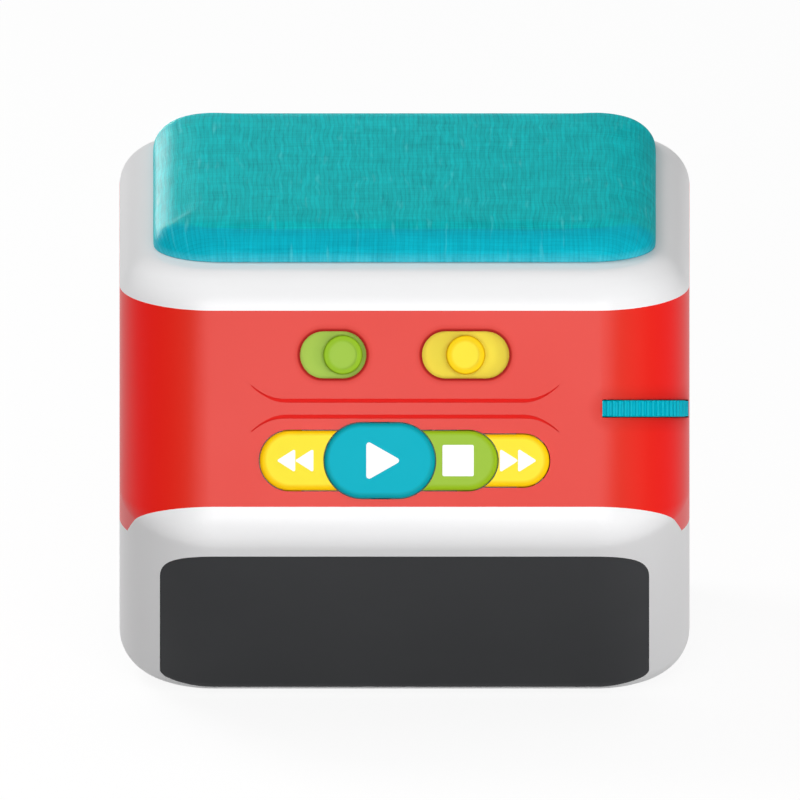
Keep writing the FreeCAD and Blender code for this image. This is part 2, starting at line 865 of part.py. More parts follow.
def volume_pot():
    """Rotary control under the shelf, with three tags."""
    centre = wheel_centre()
    top = wheel_row - wheel_thick / 2.0 - slack - shelf
    body = rod(pot_radius, Vector(centre.x, centre.y, top - pot_height), Vector(centre.x, centre.y, top))
    tags = [box((centre.x + x - 0.5, centre.x + x + 0.5),
                (centre.y + pot_radius - 1.0, centre.y + pot_radius + 3.0),
                (top - pot_height, top - pot_height + 0.5)) for x in (-3.0, 0.0, 3.0)]
    well = rod(shaft_radius + shaft_clearance, Vector(centre.x, centre.y, top - pot_height + 0.9),
               Vector(centre.x, centre.y, top + 1.0))
    return on_face(union([body] + tags).cut(well))


# ---- main board ----------------------------------------------------------------------
def along_board(share):
    left = -half + board_left_inset
    return left + share * (board_right() - left)


def main_board():
    left = -half + board_left_inset
    y_span = (board_depth, board_depth + board_thick)
    board = box((left, board_right()), y_span, (board_low, board_high))
    ear_low = wheel_row + wheel_thick / 2.0 + board_right_gap
    ear = box((left, board_right() + board_ear), y_span, (ear_low, board_high))
    board = union([board, ear])
    holes = [rod(small_screw + fit, Vector(x, board_depth - 1.0, rise),
                 Vector(x, board_depth + board_thick + 1.0, rise)) for x, rise in board_post_places()]
    return on_face(board.cut(union(holes)))


def board_screws():
    screws = []
    back = board_depth + board_thick
    for x, rise in board_post_places():
        head = rod(small_head, Vector(x, back, rise), Vector(x, back + small_head_height, rise))
        shank = rod(small_screw, Vector(x, board_depth - 4.5, rise), Vector(x, back, rise))
        screws.append(on_face(union([head, shank])))
    return Part.makeCompound(screws)


def board_parts():
    """Processor, memory, amplifier, two capacitors and two lead sockets on the board's back."""
    back = board_depth + board_thick
    chips = []
    for share, size, thick in ((processor_share, processor_size, processor_thick),
                               (memory_share, memory_size, memory_thick),
                               (amplifier_share, amplifier_size, processor_thick)):
        x = along_board(share)
        chips.append(box((x - size / 2.0, x + size / 2.0), (back, back + thick),
                         (chip_row - size / 2.0, chip_row + size / 2.0)))
    x = along_board(capacitor_share)
    for rise in (capacitor_high, capacitor_low):
        chips.append(rod(capacitor_radius, Vector(x, back, rise),
                         Vector(x, back + capacitor_height, rise)))
    reach_x = socket_length / 2.0
    reach_z = socket_height / 2.0
    for x, rise in (speaker_socket(), battery_socket()):
        chips.append(box((x - reach_x, x + reach_x), (back, back + socket_height),
                         (rise - reach_z, rise + reach_z)))
    return Part.makeCompound([on_face(chip) for chip in chips])


def speaker_socket():
    return (along_board(memory_share), board_high - speaker_socket_drop)


def battery_socket():
    return (-half + board_left_inset + battery_socket_inset, board_low + battery_socket_rise)


# ---- pad and speaker -----------------------------------------------------------------
def pad_block(inset, height):
    """The pad's rounded block on the deck, or the same block a distance inside it."""
    size = pad_size - 2.0 * inset
    block = Part.makeBox(size, size, height, Vector(-size / 2.0, pad_y - size / 2.0, deck_z))
    upright = [edge for edge in block.Edges if edge.BoundBox.ZLength > height / 2.0]
    block = block.makeFillet(pad_corner - inset, upright)
    top = [edge for edge in block.Edges if edge.BoundBox.ZMin > deck_z + height - 1e-3]
    return block.makeFillet(height - 0.15, top)


def fabric_cover():
    return pad_block(0.0, pad_height).cut(pad_block(cloth, pad_height - cloth))


def peg_places():
    reach = pad_size / 2.0 - peg_inset
    return [(side_x * reach, pad_y + side_y * reach) for side_x in (-1, 1) for side_y in (-1, 1)]


def pad_frame():
    """Rigid grille that the fabric is stretched over: a tray with a field of round holes."""
    height = pad_height - cloth
    block = pad_block(cloth, height)
    room = pad_size - 2.0 * (cloth + grille_rim)
    hollow = Part.makeBox(room, room, height - grille_plate,
                          Vector(-room / 2.0, pad_y - room / 2.0, deck_z))
    upright = [edge for edge in hollow.Edges if edge.BoundBox.ZLength > 0.5]
    hollow = hollow.makeFillet(pad_corner - cloth - grille_rim, upright)
    frame = block.cut(hollow)
    pegs = [rod(peg_radius, Vector(x, y, deck_z - wall), Vector(x, y, deck_z + height - 1.0))
            for x, y in peg_places()]
    frame = union([frame] + pegs)
    holes = []
    rows = int(grille_field / (grille_pitch * 0.866)) + 1
    columns = int(grille_field / grille_pitch) + 1
    for row in range(-rows, rows + 1):
        for column in range(-columns, columns + 1):
            x = (column + 0.5 * (row % 2)) * grille_pitch
            y = row * grille_pitch * 0.866
            if math.hypot(x, y) < grille_field:
                start = Vector(x, pad_y + y, deck_z)
                holes.append(rod(grille_hole, start, start.add(Vector(0, 0, pad_height))))
    return frame.cut(Part.makeCompound(holes))


def speaker_top():
    return deck_z - wall - gasket


def speaker_screw_places():
    reach = speaker_radius - 2.0
    return [(reach * math.cos(math.radians(angle)), pad_y + reach * math.sin(math.radians(angle)))
            for angle in speaker_screw_angles]


def turned(points):
    """A ring turned from (radius, height) points about the speaker's axis."""
    loop = [Vector(radius, 0, height) for radius, height in points]
    loop.append(loop[0])
    ring = Part.Face(Part.makePolygon(loop)).revolve(Vector(0, 0, 0), Vector(0, 0, 1), 360)
    ring.translate(Vector(0, pad_y, speaker_top()))
    return ring


def speaker_basket():
    thick = speaker_flange
    drop = speaker_drop
    throat = speaker_throat
    wide = cone_radius + 2.5
    basket = turned([
        (speaker_radius, 0.0), (speaker_radius, -thick), (wide, -thick), (throat + 7.0, -drop + thick),
        (throat + 7.0, -drop), (coil_radius + 1.5, -drop), (coil_radius + 1.5, -drop + thick),
        (throat + 5.2, -drop + thick), (wide - 2.0, -thick), (wide - 2.0, 0.0),
    ])
    windows = []
    for turn in (0.0, 90.0, 180.0, 270.0):
        window = box((throat + 6.2, speaker_radius - 4.0), (pad_y - 8.0, pad_y + 8.0),
                     (speaker_top() - drop + 3.5, speaker_top() - thick - 2.0))
        window.rotate(Vector(0, pad_y, 0), Vector(0, 0, 1), turn)
        windows.append(window)
    holes = [rod(small_screw + fit, Vector(x, y, speaker_top() - 5.0), Vector(x, y, speaker_top() + 1.0))
             for x, y in speaker_screw_places()]
    return basket.cut(union(windows + holes))


def speaker_gasket():
    ring = turned([(speaker_radius, 0.0), (speaker_radius, gasket), (speaker_opening, gasket),
                   (speaker_opening, 0.0)])
    holes = [rod(small_screw + fit, Vector(x, y, speaker_top() - 1.0), Vector(x, y, deck_z))
             for x, y in speaker_screw_places()]
    return ring.cut(union(holes))


def speaker_magnet():
    base = -speaker_drop
    ring = turned([(magnet_radius, base), (magnet_radius, base - magnet_height),
                   (0.0, base - magnet_height), (0.0, base - 4.0), (coil_radius + 1.5, base - 4.0),
                   (coil_radius + 1.5, base)])
    pole = rod(coil_radius - 1.5, Vector(0, pad_y, speaker_top() + base - 5.0),
               Vector(0, pad_y, speaker_top() + base + 1.0))
    return union([ring, pole])


def speaker_cone():
    """Paper cone with its voice coil former."""
    low = -speaker_drop + 3.0
    rim = -speaker_flange
    coil_out = coil_radius + 0.4
    return turned([
        (cone_radius, rim), (cone_radius, rim - cone_wall), (coil_out + 0.6, low - cone_wall),
        (coil_out, low - cone_wall), (coil_out, -speaker_drop - 2.0), (coil_radius - 0.2, -speaker_drop - 2.0),
        (coil_radius - 0.2, low + 0.6),
    ])


def speaker_surround():
    """Rubber roll between the cone's rim and the basket's flange."""
    rim = -speaker_flange
    inner = cone_radius - 1.5
    outer = speaker_opening - 0.5
    edge = cone_radius + 0.5
    return turned([
        (inner + 0.4, rim + 0.05), (edge, rim + 0.05), (edge, 0.0), (outer, 0.0), (outer, 0.5),
        (edge + 0.4, 0.9), (edge - 0.6, 0.9), (inner + 0.4, rim + 0.6),
    ])


def dust_cap():
    radius = coil_radius - 0.4
    rise = 3.0
    ball = (radius * radius + rise * rise) / (2.0 * rise)
    low = speaker_top() - speaker_drop + 3.7
    centre = Vector(0, pad_y, low + rise - ball)
    dome = Part.makeSphere(ball, centre).cut(Part.makeSphere(ball - 0.6, centre))
    keep = rod(radius, Vector(0, pad_y, low), Vector(0, pad_y, low + rise + 1.0))
    return dome.common(keep)


def speaker_screws():
    screws = []
    low = speaker_top() - speaker_flange
    for x, y in speaker_screw_places():
        head = rod(small_head, Vector(x, y, low - small_head_height), Vector(x, y, low))
        shank = rod(small_screw, Vector(x, y, low), Vector(x, y, deck_z - wall + 1.0))
        screws.append(union([head, shank]))
    return Part.makeCompound(screws)


# ---- battery bay ---------------------------------------------------------------------
def bay_half():
    return (cell_count * (2.0 * cell_radius + cell_gap) + cell_gap) / 2.0


def bay_x():
    """The bay sits off centre, so that the door with its ear is central."""
    return -door_ear / 2.0


def bay_low():
    return base_z + cell_low - cell_gap - bay_wall


def bay_high():
    return base_z + cell_low + 2.0 * cell_radius + cell_gap + bay_wall


def cell_end():
    return back_y - wall - contact - slack


def bay_front():
    return cell_end() - cell_length - 2.2 - bay_wall


def battery_bay():
    """Open-backed tray for the cells, flanged to the inside of the back wall."""
    left = bay_x() - bay_half() - bay_wall
    right = bay_x() + bay_half() + bay_wall
    end = back_y - wall
    tray = box((left, right), (bay_front(), end), (bay_low(), bay_high()))
    flange = box((left - bay_flange, right + bay_flange + door_ear), (end - bay_wall, end),
                 (bay_low() - 1.8, bay_high() + 1.8)).common(housing(wall))
    boss = rod(post_radius - 1.0, Vector(door_screw_x(), end - 8.0, bay_middle()),
               Vector(door_screw_x(), end, bay_middle()))
    room = box((left + bay_wall, right - bay_wall), (bay_front() + bay_wall, end + 1.0),
               (bay_low() + bay_wall, bay_high() - bay_wall))
    pilot = rod(small_screw + shaft_clearance, Vector(door_screw_x(), end - 7.0, bay_middle()),
                Vector(door_screw_x(), end + 1.0, bay_middle()))
    return union([tray, flange, boss]).cut(room).cut(pilot)


def bay_middle():
    return (bay_low() + bay_high()) / 2.0


def door_screw_x():
    return bay_x() + bay_half() + bay_wall + door_ear / 2.0


def door_block(grow, y_span):
    """The battery door's outline, grown by a margin."""
    left = bay_x() - bay_half() - door_overlap - grow
    right = bay_x() + bay_half() + door_overlap + door_ear + grow
    low = bay_low() - 0.4 - grow
    high = bay_high() + 0.4 + grow
    block = box((left, right), y_span, (low, high))
    depth = y_span[1] - y_span[0]
    corners = [edge for edge in block.Edges if edge.BoundBox.YLength > depth / 2.0]
    return block.makeFillet(3.0 + grow, corners)


def battery_door():
    """Flush door with a locating frame, finger grips and a sunk screw hole."""
    plate = door_block(0.0, (back_y - door_wall, back_y)).common(housing(0.0))
    left = bay_x() - bay_half() + slack
    right = bay_x() + bay_half() - slack
    low = bay_low() + bay_wall + slack
    high = bay_high() - bay_wall - slack
    y_span = (cell_end() + fit, back_y - door_wall + 0.2)
    frame = box((left, right), y_span, (low, high))
    frame = frame.cut(box((left + 1.0, right - 1.0), (y_span[0] - 1.0, y_span[1] + 1.0),
                          (low + 1.0, high - 1.0)))
    door = union([plate, frame])
    grips = [box((-14.0, 14.0), (back_y - 0.7, back_y + 1.0), (rise - 0.5, rise + 0.5))
             for rise in [bay_middle() - 4.5 + 3.0 * index for index in range(4)]]
    x = door_screw_x()
    hole = rod(small_screw + fit, Vector(x, back_y - door_wall - 1.0, bay_middle()),
               Vector(x, back_y + 1.0, bay_middle()))
    sink = rod(small_head + fit, Vector(x, back_y - small_head_height - 0.2, bay_middle()),
               Vector(x, back_y + 1.0, bay_middle()))
    return door.cut(union(grips)).cut(hole).cut(sink)


def door_screw():
    x = door_screw_x()
    seat = back_y - small_head_height - 0.2
    head = rod(small_head, Vector(x, seat, bay_middle()), Vector(x, seat + small_head_height, bay_middle()))
    shank = rod(small_screw, Vector(x, back_y - wall - 6.0, bay_middle()), Vector(x, seat, bay_middle()))
    top = seat + small_head_height
    cross = box((x - 1.3, x + 1.3), (top - 0.6, top), (bay_middle() - 0.3, bay_middle() + 0.3))
    cross = cross.fuse(box((x - 0.3, x + 0.3), (top - 0.6, top), (bay_middle() - 1.3, bay_middle() + 1.3)))
    return union([head, shank]).cut(cross)


def cell_columns():
    pitch = 2.0 * cell_radius + cell_gap
    return [bay_x() + (index - (cell_count - 1) / 2.0) * pitch for index in range(cell_count)]


def batteries():
    """Round cells side by side, every other one turned end for end."""
    cells = []
    for index, x in enumerate(cell_columns()):
        start = cell_end() - cell_length
        rise = base_z + cell_low + cell_radius
        nub = 1.2
        flip = index % 2
        low = start if flip else start + nub
        high = cell_end() - nub if flip else cell_end()
        can = rod(cell_radius, Vector(x, low, rise), Vector(x, high, rise))
        tip_span = (high - 0.2, cell_end()) if flip else (start, low + 0.2)
        tip = rod(2.7, Vector(x, tip_span[0], rise), Vector(x, tip_span[1], rise))
        cells.append(union([can, tip]))
    return Part.makeCompound(cells)


def battery_contacts():
    """Sprung plates at the inner end of the bay, one behind each cell."""
    plates = []
    rise = base_z + cell_low + cell_radius
    inner = bay_front() + bay_wall
    for x in cell_columns():
        plate = box((x - contact_half, x + contact_half), (inner, inner + contact),
                    (rise - contact_half, rise + contact_half))
        bump = Part.makeCone(contact_half - 1.0, contact_half - 2.5, 2.2 - contact, Vector(x, inner + contact - 0.01, rise), Vector(0, 1, 0))
        plates.append(union([plate, bump]))
    return Part.makeCompound(plates)


def door_contacts():
    """Two strips inside the door, each joining a pair of cells."""
    columns = cell_columns()
    rise = base_z + cell_low + cell_radius
    strips = []
    for index in range(0, cell_count - 1, 2):
        strips.append(box((columns[index] - contact_half, columns[index + 1] + contact_half),
                          (back_y - door_wall - contact, back_y - door_wall),
                          (rise - contact_rise, rise + contact_rise)))
    return Part.makeCompound(strips)


# ---- leads ---------------------------------------------------------------------------
def lead(points, radius):
    """A round wire along straight runs joined by tangent arcs."""
    edges = []
    at = points[0]
    for index in range(1, len(points) - 1):
        corner = points[index]
        back = points[index - 1].sub(corner)
        ahead = points[index + 1].sub(corner)
        shorter = min(back.Length, ahead.Length) * 0.45
        to_back = Vector(back).normalize()
        to_ahead = Vector(ahead).normalize()
        start = corner.add(Vector(to_back).multiply(shorter))
        end = corner.add(Vector(to_ahead).multiply(shorter))
        middle_way = to_back.add(to_ahead).normalize()
        half_angle = math.acos(max(-1.0, min(1.0, to_back.dot(to_ahead)))) / 2.0
        bend = shorter * math.tan(half_angle)
        centre_gap = math.hypot(bend, shorter)
        middle = corner.add(Vector(middle_way).multiply(centre_gap - bend))
        edges.append(Part.LineSegment(at, start).toShape())
        edges.append(Part.Arc(start, middle, end).toShape())
        at = end
    edges.append(Part.LineSegment(at, points[-1]).toShape())
    path = Part.Wire(edges)
    ring = Part.makeCircle(radius, points[0], points[1].sub(points[0]))
    return path.makePipeShell([Part.Wire(ring)], True, False)


def speaker_leads():
    """Two wires from the board's upper socket to the speaker's tags."""
    back = board_depth + board_thick + socket_height
    wires = []
    x0, rise = speaker_socket()
    for side in (-1, 1):
        start = face_point(x0 + side * lead_spread, back, rise)
        out = face_point(x0 + side * lead_spread, back + lead_reach, rise)
        tag_z = speaker_top() - speaker_drop - magnet_height / 2.0
        end = Vector(side * 3.0, pad_y - magnet_radius, tag_z)
        ahead = end.add(Vector(0, -6.0, 0))
        turn = Vector((out.x + ahead.x) / 2.0, (out.y + ahead.y) / 2.0, min(out.z, ahead.z) - 4.0)
        wires.append(lead([start, out, turn, ahead, end], lead_radius))
    return Part.makeCompound(wires)


def battery_leads():
    """Two wires from the battery bay's inner wall to the board's lower socket."""
    back = board_depth + board_thick + socket_height
    wires = []
    x0, rise = battery_socket()
    for side in (-1, 1):
        start = face_point(x0 + side * lead_spread, back, rise)
        out = face_point(x0 + side * lead_spread, back + lead_reach, rise)
        end = Vector(bay_x() - bay_half() * 0.6 + side * 3.0, bay_front(), bay_middle())
        ahead = end.add(Vector(0, -8.0, 0))
        turn = Vector(out.x * 0.6 + ahead.x * 0.4, out.y * 0.5 + ahead.y * 0.5, ahead.z + 6.0)
        wires.append(lead([start, out, turn, ahead, end], lead_radius))
    return Part.makeCompound(wires)


pieces = {
    "lower_shell": lower_shell(),
    "control_band": control_band(),
    "upper_shell": upper_shell(),
    "housing_screws": housing_screws(),
    "rubber_feet": rubber_feet(),
    "chin_panel": chin_panel(),
    "reader_board": reader_board(),
    "fabric_cover": fabric_cover(),
    "pad_frame": pad_frame(),
    "speaker_basket": speaker_basket(),
    "speaker_gasket": speaker_gasket(),
    "speaker_magnet": speaker_magnet(),
    "speaker_cone": speaker_cone(),
    "speaker_surround": speaker_surround(),
    "speaker_dust_cap": dust_cap(),
    "speaker_screws": speaker_screws(),
    "main_board": main_board(),
    "board_screws": board_screws(),
    "board_parts": board_parts(),
    "key_switches": key_switches(),
    "power_slider": slider(power_slot, power_slot_x, power_knob_x, power_skin),
    "power_switch_lever": switch_lever(power_knob_x),
    "power_switch": slide_switch(power_slot, power_slot_x),
    "mode_slider": slider(mode_slot, mode_slot_x, mode_knob_x, mode_skin),
    "mode_switch_lever": switch_lever(mode_knob_x),
    "mode_switch": slide_switch(mode_slot, mode_slot_x),
    "volume_wheel": volume_wheel(),
    "volume_shaft": volume_shaft(),
    "volume_pot": volume_pot(),
    "battery_bay": battery_bay(),
    "battery_door": battery_door(),
    "battery_door_screw": door_screw(),
    "batteries": batteries(),
    "battery_contacts": battery_contacts(),
    "door_contacts": door_contacts(),
    "speaker_leads": speaker_leads(),
    "battery_leads": battery_leads(),
}
keys = (
    ("rewind", side_proud, rewind_height, "play"),
    ("play", play_proud, play_height, None),
    ("stop", side_proud, stop_height, "play"),
    ("forward", forward_proud, forward_height, "stop"),
)
for name, proud, height, neighbour in keys:
    pieces[name + "_button"] = button(name, proud, height, neighbour)
    pieces[name + "_icon"] = icon(name, proud)
    pieces[name + "_plunger"] = plunger(name)

os.makedirs("parts", exist_ok=True)
for node, shape in pieces.items():
    shape.exportStep("parts/" + node + ".step")
    print(node, len(shape.Solids), "solids", round(shape.Volume, 1), "mm3", "valid", shape.isValid())
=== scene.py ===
import bpy
import bmesh
import json
import math
from mathutils import Matrix, Vector


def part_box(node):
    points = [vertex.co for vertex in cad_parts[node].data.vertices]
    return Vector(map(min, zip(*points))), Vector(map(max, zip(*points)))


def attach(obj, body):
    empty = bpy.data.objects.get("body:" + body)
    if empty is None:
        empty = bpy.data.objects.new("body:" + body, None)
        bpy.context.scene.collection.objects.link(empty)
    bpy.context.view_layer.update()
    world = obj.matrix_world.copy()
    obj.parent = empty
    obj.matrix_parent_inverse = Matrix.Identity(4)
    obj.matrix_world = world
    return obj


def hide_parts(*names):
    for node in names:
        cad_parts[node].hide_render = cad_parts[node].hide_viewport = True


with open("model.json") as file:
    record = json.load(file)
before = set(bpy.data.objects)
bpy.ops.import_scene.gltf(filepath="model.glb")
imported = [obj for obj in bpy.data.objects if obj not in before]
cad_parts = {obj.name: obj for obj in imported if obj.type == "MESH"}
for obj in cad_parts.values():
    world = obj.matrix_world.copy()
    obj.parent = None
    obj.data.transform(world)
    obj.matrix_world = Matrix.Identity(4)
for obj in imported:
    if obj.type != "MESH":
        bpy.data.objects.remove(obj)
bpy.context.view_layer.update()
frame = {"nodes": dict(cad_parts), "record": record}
print("frame loaded")

mm = 0.001
fineRelief = 0.0001     # how far fine bump textures stand out, in metres
cloudRange = (0.2, 0.8)     # the part of a cloud noise that is spread over its two ends
streakRange = (0.3, 0.7)


def linear(red, green, blue):
    # screen values from 0 to 255, as linear light
    values = []
    for value in (red, green, blue):
        share = value / 255
        values.append(share / 12.92 if share <= 0.04045 else ((share + 0.055) / 1.055) ** 2.4)
    return (values[0], values[1], values[2], 1)


# The control face leans back, and its own frame starts at the sharp corner above the chin.
faceLean = math.radians(15)
faceCorner = Vector((0, -69.5939, 45.5))


def onFace(x, depth, rise):
    # a point of the leaning face, in metres
    back = Vector((0, math.cos(faceLean), -math.sin(faceLean)))
    up = Vector((0, math.sin(faceLean), math.cos(faceLean)))
    return (faceCorner + Vector((x, 0, 0)) + back * depth + up * rise) * mm


class Finish:
    # a new material with its shader, and short ways to add nodes to it
    def __init__(self, name):
        self.material = bpy.data.materials.new(name)
        self.material.use_nodes = True
        self.tree = self.material.node_tree
        self.shader = self.tree.nodes["Principled BSDF"]
        self.place = self.tree.nodes.new("ShaderNodeTexCoord").outputs["Object"]

    def node(self, kind, **values):
        made = self.tree.nodes.new(kind)
        for key, value in values.items():
            setattr(made, key, value)
        return made

    def link(self, start, end):
        self.tree.links.new(start, end)

    def set(self, **values):
        for key, value in values.items():
            self.shader.inputs[key.replace("_", " ")].default_value = value

    def maths(self, operation, first, second=None, clamp=False):
        made = self.node("ShaderNodeMath", operation=operation, use_clamp=clamp)
        for index, value in enumerate((first, second)):
            if value is None:
                continue
            if isinstance(value, (int, float)):
                made.inputs[index].default_value = value
            else:
                self.link(value, made.inputs[index])
        return made.outputs[0]

    def stretched(self, source, scale):
        made = self.node("ShaderNodeMapping")
        made.inputs["Scale"].default_value = scale
        self.link(source, made.inputs["Vector"])
        return made.outputs["Vector"]

    def noise(self, source, scale, detail=2.0, roughness=0.5):
        made = self.node("ShaderNodeTexNoise")
        made.inputs["Scale"].default_value = scale
        made.inputs["Detail"].default_value = detail
        made.inputs["Roughness"].default_value = roughness
        self.link(source, made.inputs["Vector"])
        return made.outputs["Fac"]

    def ramp(self, source, low, high, start=0.0, end=1.0):
        made = self.node("ShaderNodeMapRange", clamp=True)
        for key, value in (("From Min", start), ("From Max", end), ("To Min", low), ("To Max", high)):
            made.inputs[key].default_value = value
        self.link(source, made.inputs["Value"])
        return made.outputs["Result"]

    def blend(self, amount, first, second):
        made = self.node("ShaderNodeMix", data_type="RGBA")
        self.link(amount, made.inputs[0])
        for index, value in ((6, first), (7, second)):
            if isinstance(value, tuple):
                made.inputs[index].default_value = value
            else:
                self.link(value, made.inputs[index])
        return made.outputs[2]

    def along(self, direction, start=(0, 0, 0)):
        # how far a point lies from start along a direction, in mm
        made = self.node("ShaderNodeVectorMath", operation="SUBTRACT")
        made.inputs[1].default_value = start
        self.link(self.place, made.inputs[0])
        reach = self.node("ShaderNodeVectorMath", operation="DOT_PRODUCT")
        reach.inputs[1].default_value = direction
        self.link(made.outputs["Vector"], reach.inputs[0])
        return self.maths("MULTIPLY", reach.outputs["Value"], 1000)

    def fromOutline(self, x, row, half, radius):
        # distance in mm, on the leaning face, from a round-ended slot's outline; inside is negative
        side = self.maths("SUBTRACT", self.maths("ABSOLUTE", self.along((1, 0, 0), (x * mm, 0, 0))), half)
        side = self.maths("MAXIMUM", side, 0)
        rise = self.along((0, math.sin(faceLean), math.cos(faceLean)), tuple(onFace(0, 0, row)))
        reach = self.maths("ADD", self.maths("MULTIPLY", side, side), self.maths("MULTIPLY", rise, rise))
        return self.maths("SUBTRACT", self.maths("SQRT", reach), radius)

    def behindFace(self):
        return self.along((0, math.cos(faceLean), -math.sin(faceLean)), tuple(faceCorner * mm))

    def facing(self, direction):
        # how squarely the surface looks along a direction
        made = self.node("ShaderNodeVectorMath", operation="DOT_PRODUCT")
        made.inputs[1].default_value = direction
        self.link(self.node("ShaderNodeNewGeometry").outputs["Normal"], made.inputs[0])
        return made.outputs["Value"]

    def bump(self, height, strength, distance=fineRelief):
        made = self.node("ShaderNodeBump")
        made.inputs["Strength"].default_value = strength
        made.inputs["Distance"].default_value = distance
        self.link(height, made.inputs["Height"])
        self.link(made.outputs["Normal"], self.shader.inputs["Normal"])


def mouldedPlastic(name, look):
    # even colour with faint clouding, and the fine spark texture of a mould
    made = Finish(name)
    cloud = made.noise(made.place, look["cloudScale"], 3)
    shade = tuple(part * look["cloudDepth"] for part in look["colour"][:3]) + (1,)
    colour = made.blend(made.ramp(cloud, 0, 1, *cloudRange), look["colour"], shade)
    dull = made.ramp(cloud, look["roughness"] - 0.03, look["roughness"] + 0.03, *cloudRange)
    if "recessShade" in look:
        # away from the face's middle the red is painted deeper, a painted shade where the light falls off
        # towards the ends and back, and the grooves, wells and slot walls get a painted shade too, and are
        # left dull
        across = made.maths("ABSOLUTE", made.along((1, 0, 0)))
        depth = made.behindFace()
        offMiddle = made.maths("MAXIMUM", made.ramp(across, 0, look["endsShare"], *look["endsAcross"]),
                               made.ramp(depth, 0, look["endsShare"], *look["endsBehind"]))
        colour = made.blend(offMiddle, colour, look["ends"])
        nearMiddle = made.maths("LESS_THAN", across, look["recessReach"])
        nearFace = made.maths("LESS_THAN", depth, look["recessDepth"])
        # painted shade in the grooves, wells and slot walls, by depth behind the face
        sunk = made.maths("MULTIPLY", made.ramp(depth, 0, 1, *look["recessFrom"]),
                          made.maths("MULTIPLY", nearMiddle, nearFace))
        colour = made.blend(sunk, colour, look["recessShade"])
        # painted shade: a dark line along each outline and a soft halo beyond it, fading with depth behind
        # the face
        for x, row, half, radius, edge, spread, deepest in look["outlines"]:
            away = made.fromOutline(x, row, half, radius)
            line = made.maths("ADD", made.ramp(away, edge, 0, *look["lineFade"]),
                              made.ramp(away, look["haloShare"], 0, look["haloStart"], spread))
            line = made.maths("MULTIPLY", line,
                              made.ramp(depth, 1, 0, deepest - look["depthFade"], deepest))
            colour = made.blend(line, colour, look["line"])
            sunk = made.maths("MAXIMUM", sunk, line)
        dull = made.maths("ADD", dull, made.maths("MULTIPLY", sunk, look["recessDull"]), clamp=True)
    made.link(colour, made.shader.inputs["Base Color"])
    made.link(dull, made.shader.inputs["Roughness"])
    made.bump(made.noise(made.place, look["grainScale"], 2), look["grainStrength"])
    made.set(Coat_Weight=look["coat"], Coat_Roughness=look["coatRoughness"],
             Specular_IOR_Level=look["gloss"])
    return made.material


def keyPlastic(name, look):
    # a moulded key whose bevel, sides and border get a painted shade, a deeper tone than its face
    made = Finish(name)
    # painted shade on the bevel and sides, where the surface turns away from the face
    facing = made.facing((0, -math.cos(faceLean), math.sin(faceLean)))
    rim = made.ramp(facing, 1, 0, *look["bevel"])
    face = look["face"]
    if "knob" in look:
        # the knob's ring gets the deepest painted shade, and the plate behind the slot is painted lightest,
        # a painted light where it lies in shade
        ring = made.ramp(made.fromOutline(*look["knob"]), 0, 1, *look["ringEdge"])
        face = made.blend(ring, face, look["ring"])
        face = made.blend(made.ramp(made.behindFace(), 0, 1, *look["plateDepth"]), face, look["plate"])
    # painted shade along the border, just inside its outline
    if "borderShade" in look:
        borderShade = made.ramp(made.fromOutline(*look["borderShade"]), 0, 1, *look["borderEdge"])
        face = made.blend(borderShade, face, look["rim"])
    colour = made.blend(rim, face, look["rim"])
    cloud = made.noise(made.place, look["cloudScale"], 3)
    colour = made.blend(made.ramp(cloud, 0, look["clouding"], *cloudRange), colour, look["rim"])
    made.link(colour, made.shader.inputs["Base Color"])
    made.link(made.ramp(cloud, look["roughness"] - 0.04, look["roughness"] + 0.04, *cloudRange),
              made.shader.inputs["Roughness"])
    made.bump(made.noise(made.place, look["grainScale"], 2), look["grainStrength"])
    made.set(Specular_IOR_Level=look["gloss"])
    return made.material


def brushedMetal(name, colour, roughness, direction):
    made = Finish(name)
    lines = made.noise(made.stretched(made.place, direction), 900, 4, 0.6)
    shade = tuple(part * 0.75 for part in colour[:3]) + (1,)
    made.link(made.blend(made.ramp(lines, 0, 1, *streakRange), colour, shade),
              made.shader.inputs["Base Color"])
    made.link(made.ramp(lines, roughness - 0.08, roughness + 0.1, *streakRange),
              made.shader.inputs["Roughness"])
    made.bump(lines, 0.08)
    made.set(Metallic=1.0)
    return made.material


def softRubber(name, colour, scale):
    made = Finish(name)
    cloud = made.noise(made.place, scale, 4, 0.6)
    shade = tuple(part * 1.35 + 0.004 for part in colour[:3]) + (1,)
    made.link(made.blend(made.ramp(cloud, 0, 1, 0.35, 0.7), colour, shade),
              made.shader.inputs["Base Color"])
    made.bump(made.noise(made.place, scale * 9, 2), 0.12)
    made.set(Roughness=0.72, Specular_IOR_Level=0.3)
    return made.material


def circuitBoard(name):
    # green mask with faint tracks under it and pale tinned pads
    made = Finish(name)
    tracks = made.node("ShaderNodeTexVoronoi", feature="DISTANCE_TO_EDGE")
    tracks.inputs["Scale"].default_value = 320
    made.link(made.stretched(made.place, (1, 1, 2.2)), tracks.inputs["Vector"])
    line = made.ramp(tracks.outputs["Distance"], 1, 0, 0.02, 0.08)
    green = linear(12, 92, 46)
    colour = made.blend(line, green, linear(24, 128, 66))
    pads = made.node("ShaderNodeTexVoronoi", feature="F1")
    pads.inputs["Scale"].default_value = 240
    made.link(made.place, pads.inputs["Vector"])
    dots = made.ramp(pads.outputs["Distance"], 1, 0, 0.1, 0.14)
    made.link(made.blend(dots, colour, linear(196, 186, 150)), made.shader.inputs["Base Color"])
    made.bump(line, 0.15)
    made.set(Roughness=0.42, Coat_Weight=0.3)
    return made.material


def pressedPaper(name, colour):
    made = Finish(name)
    fibre = made.noise(made.place, 700, 6, 0.7)
    shade = tuple(part * 1.8 + 0.01 for part in colour[:3]) + (1,)
    made.link(made.blend(made.ramp(fibre, 0, 1, 0.35, 0.7), colour, shade),
              made.shader.inputs["Base Color"])
    made.bump(fibre, 0.3, fineRelief * 2)
    made.set(Roughness=0.85, Specular_IOR_Level=0.2)
    return made.material


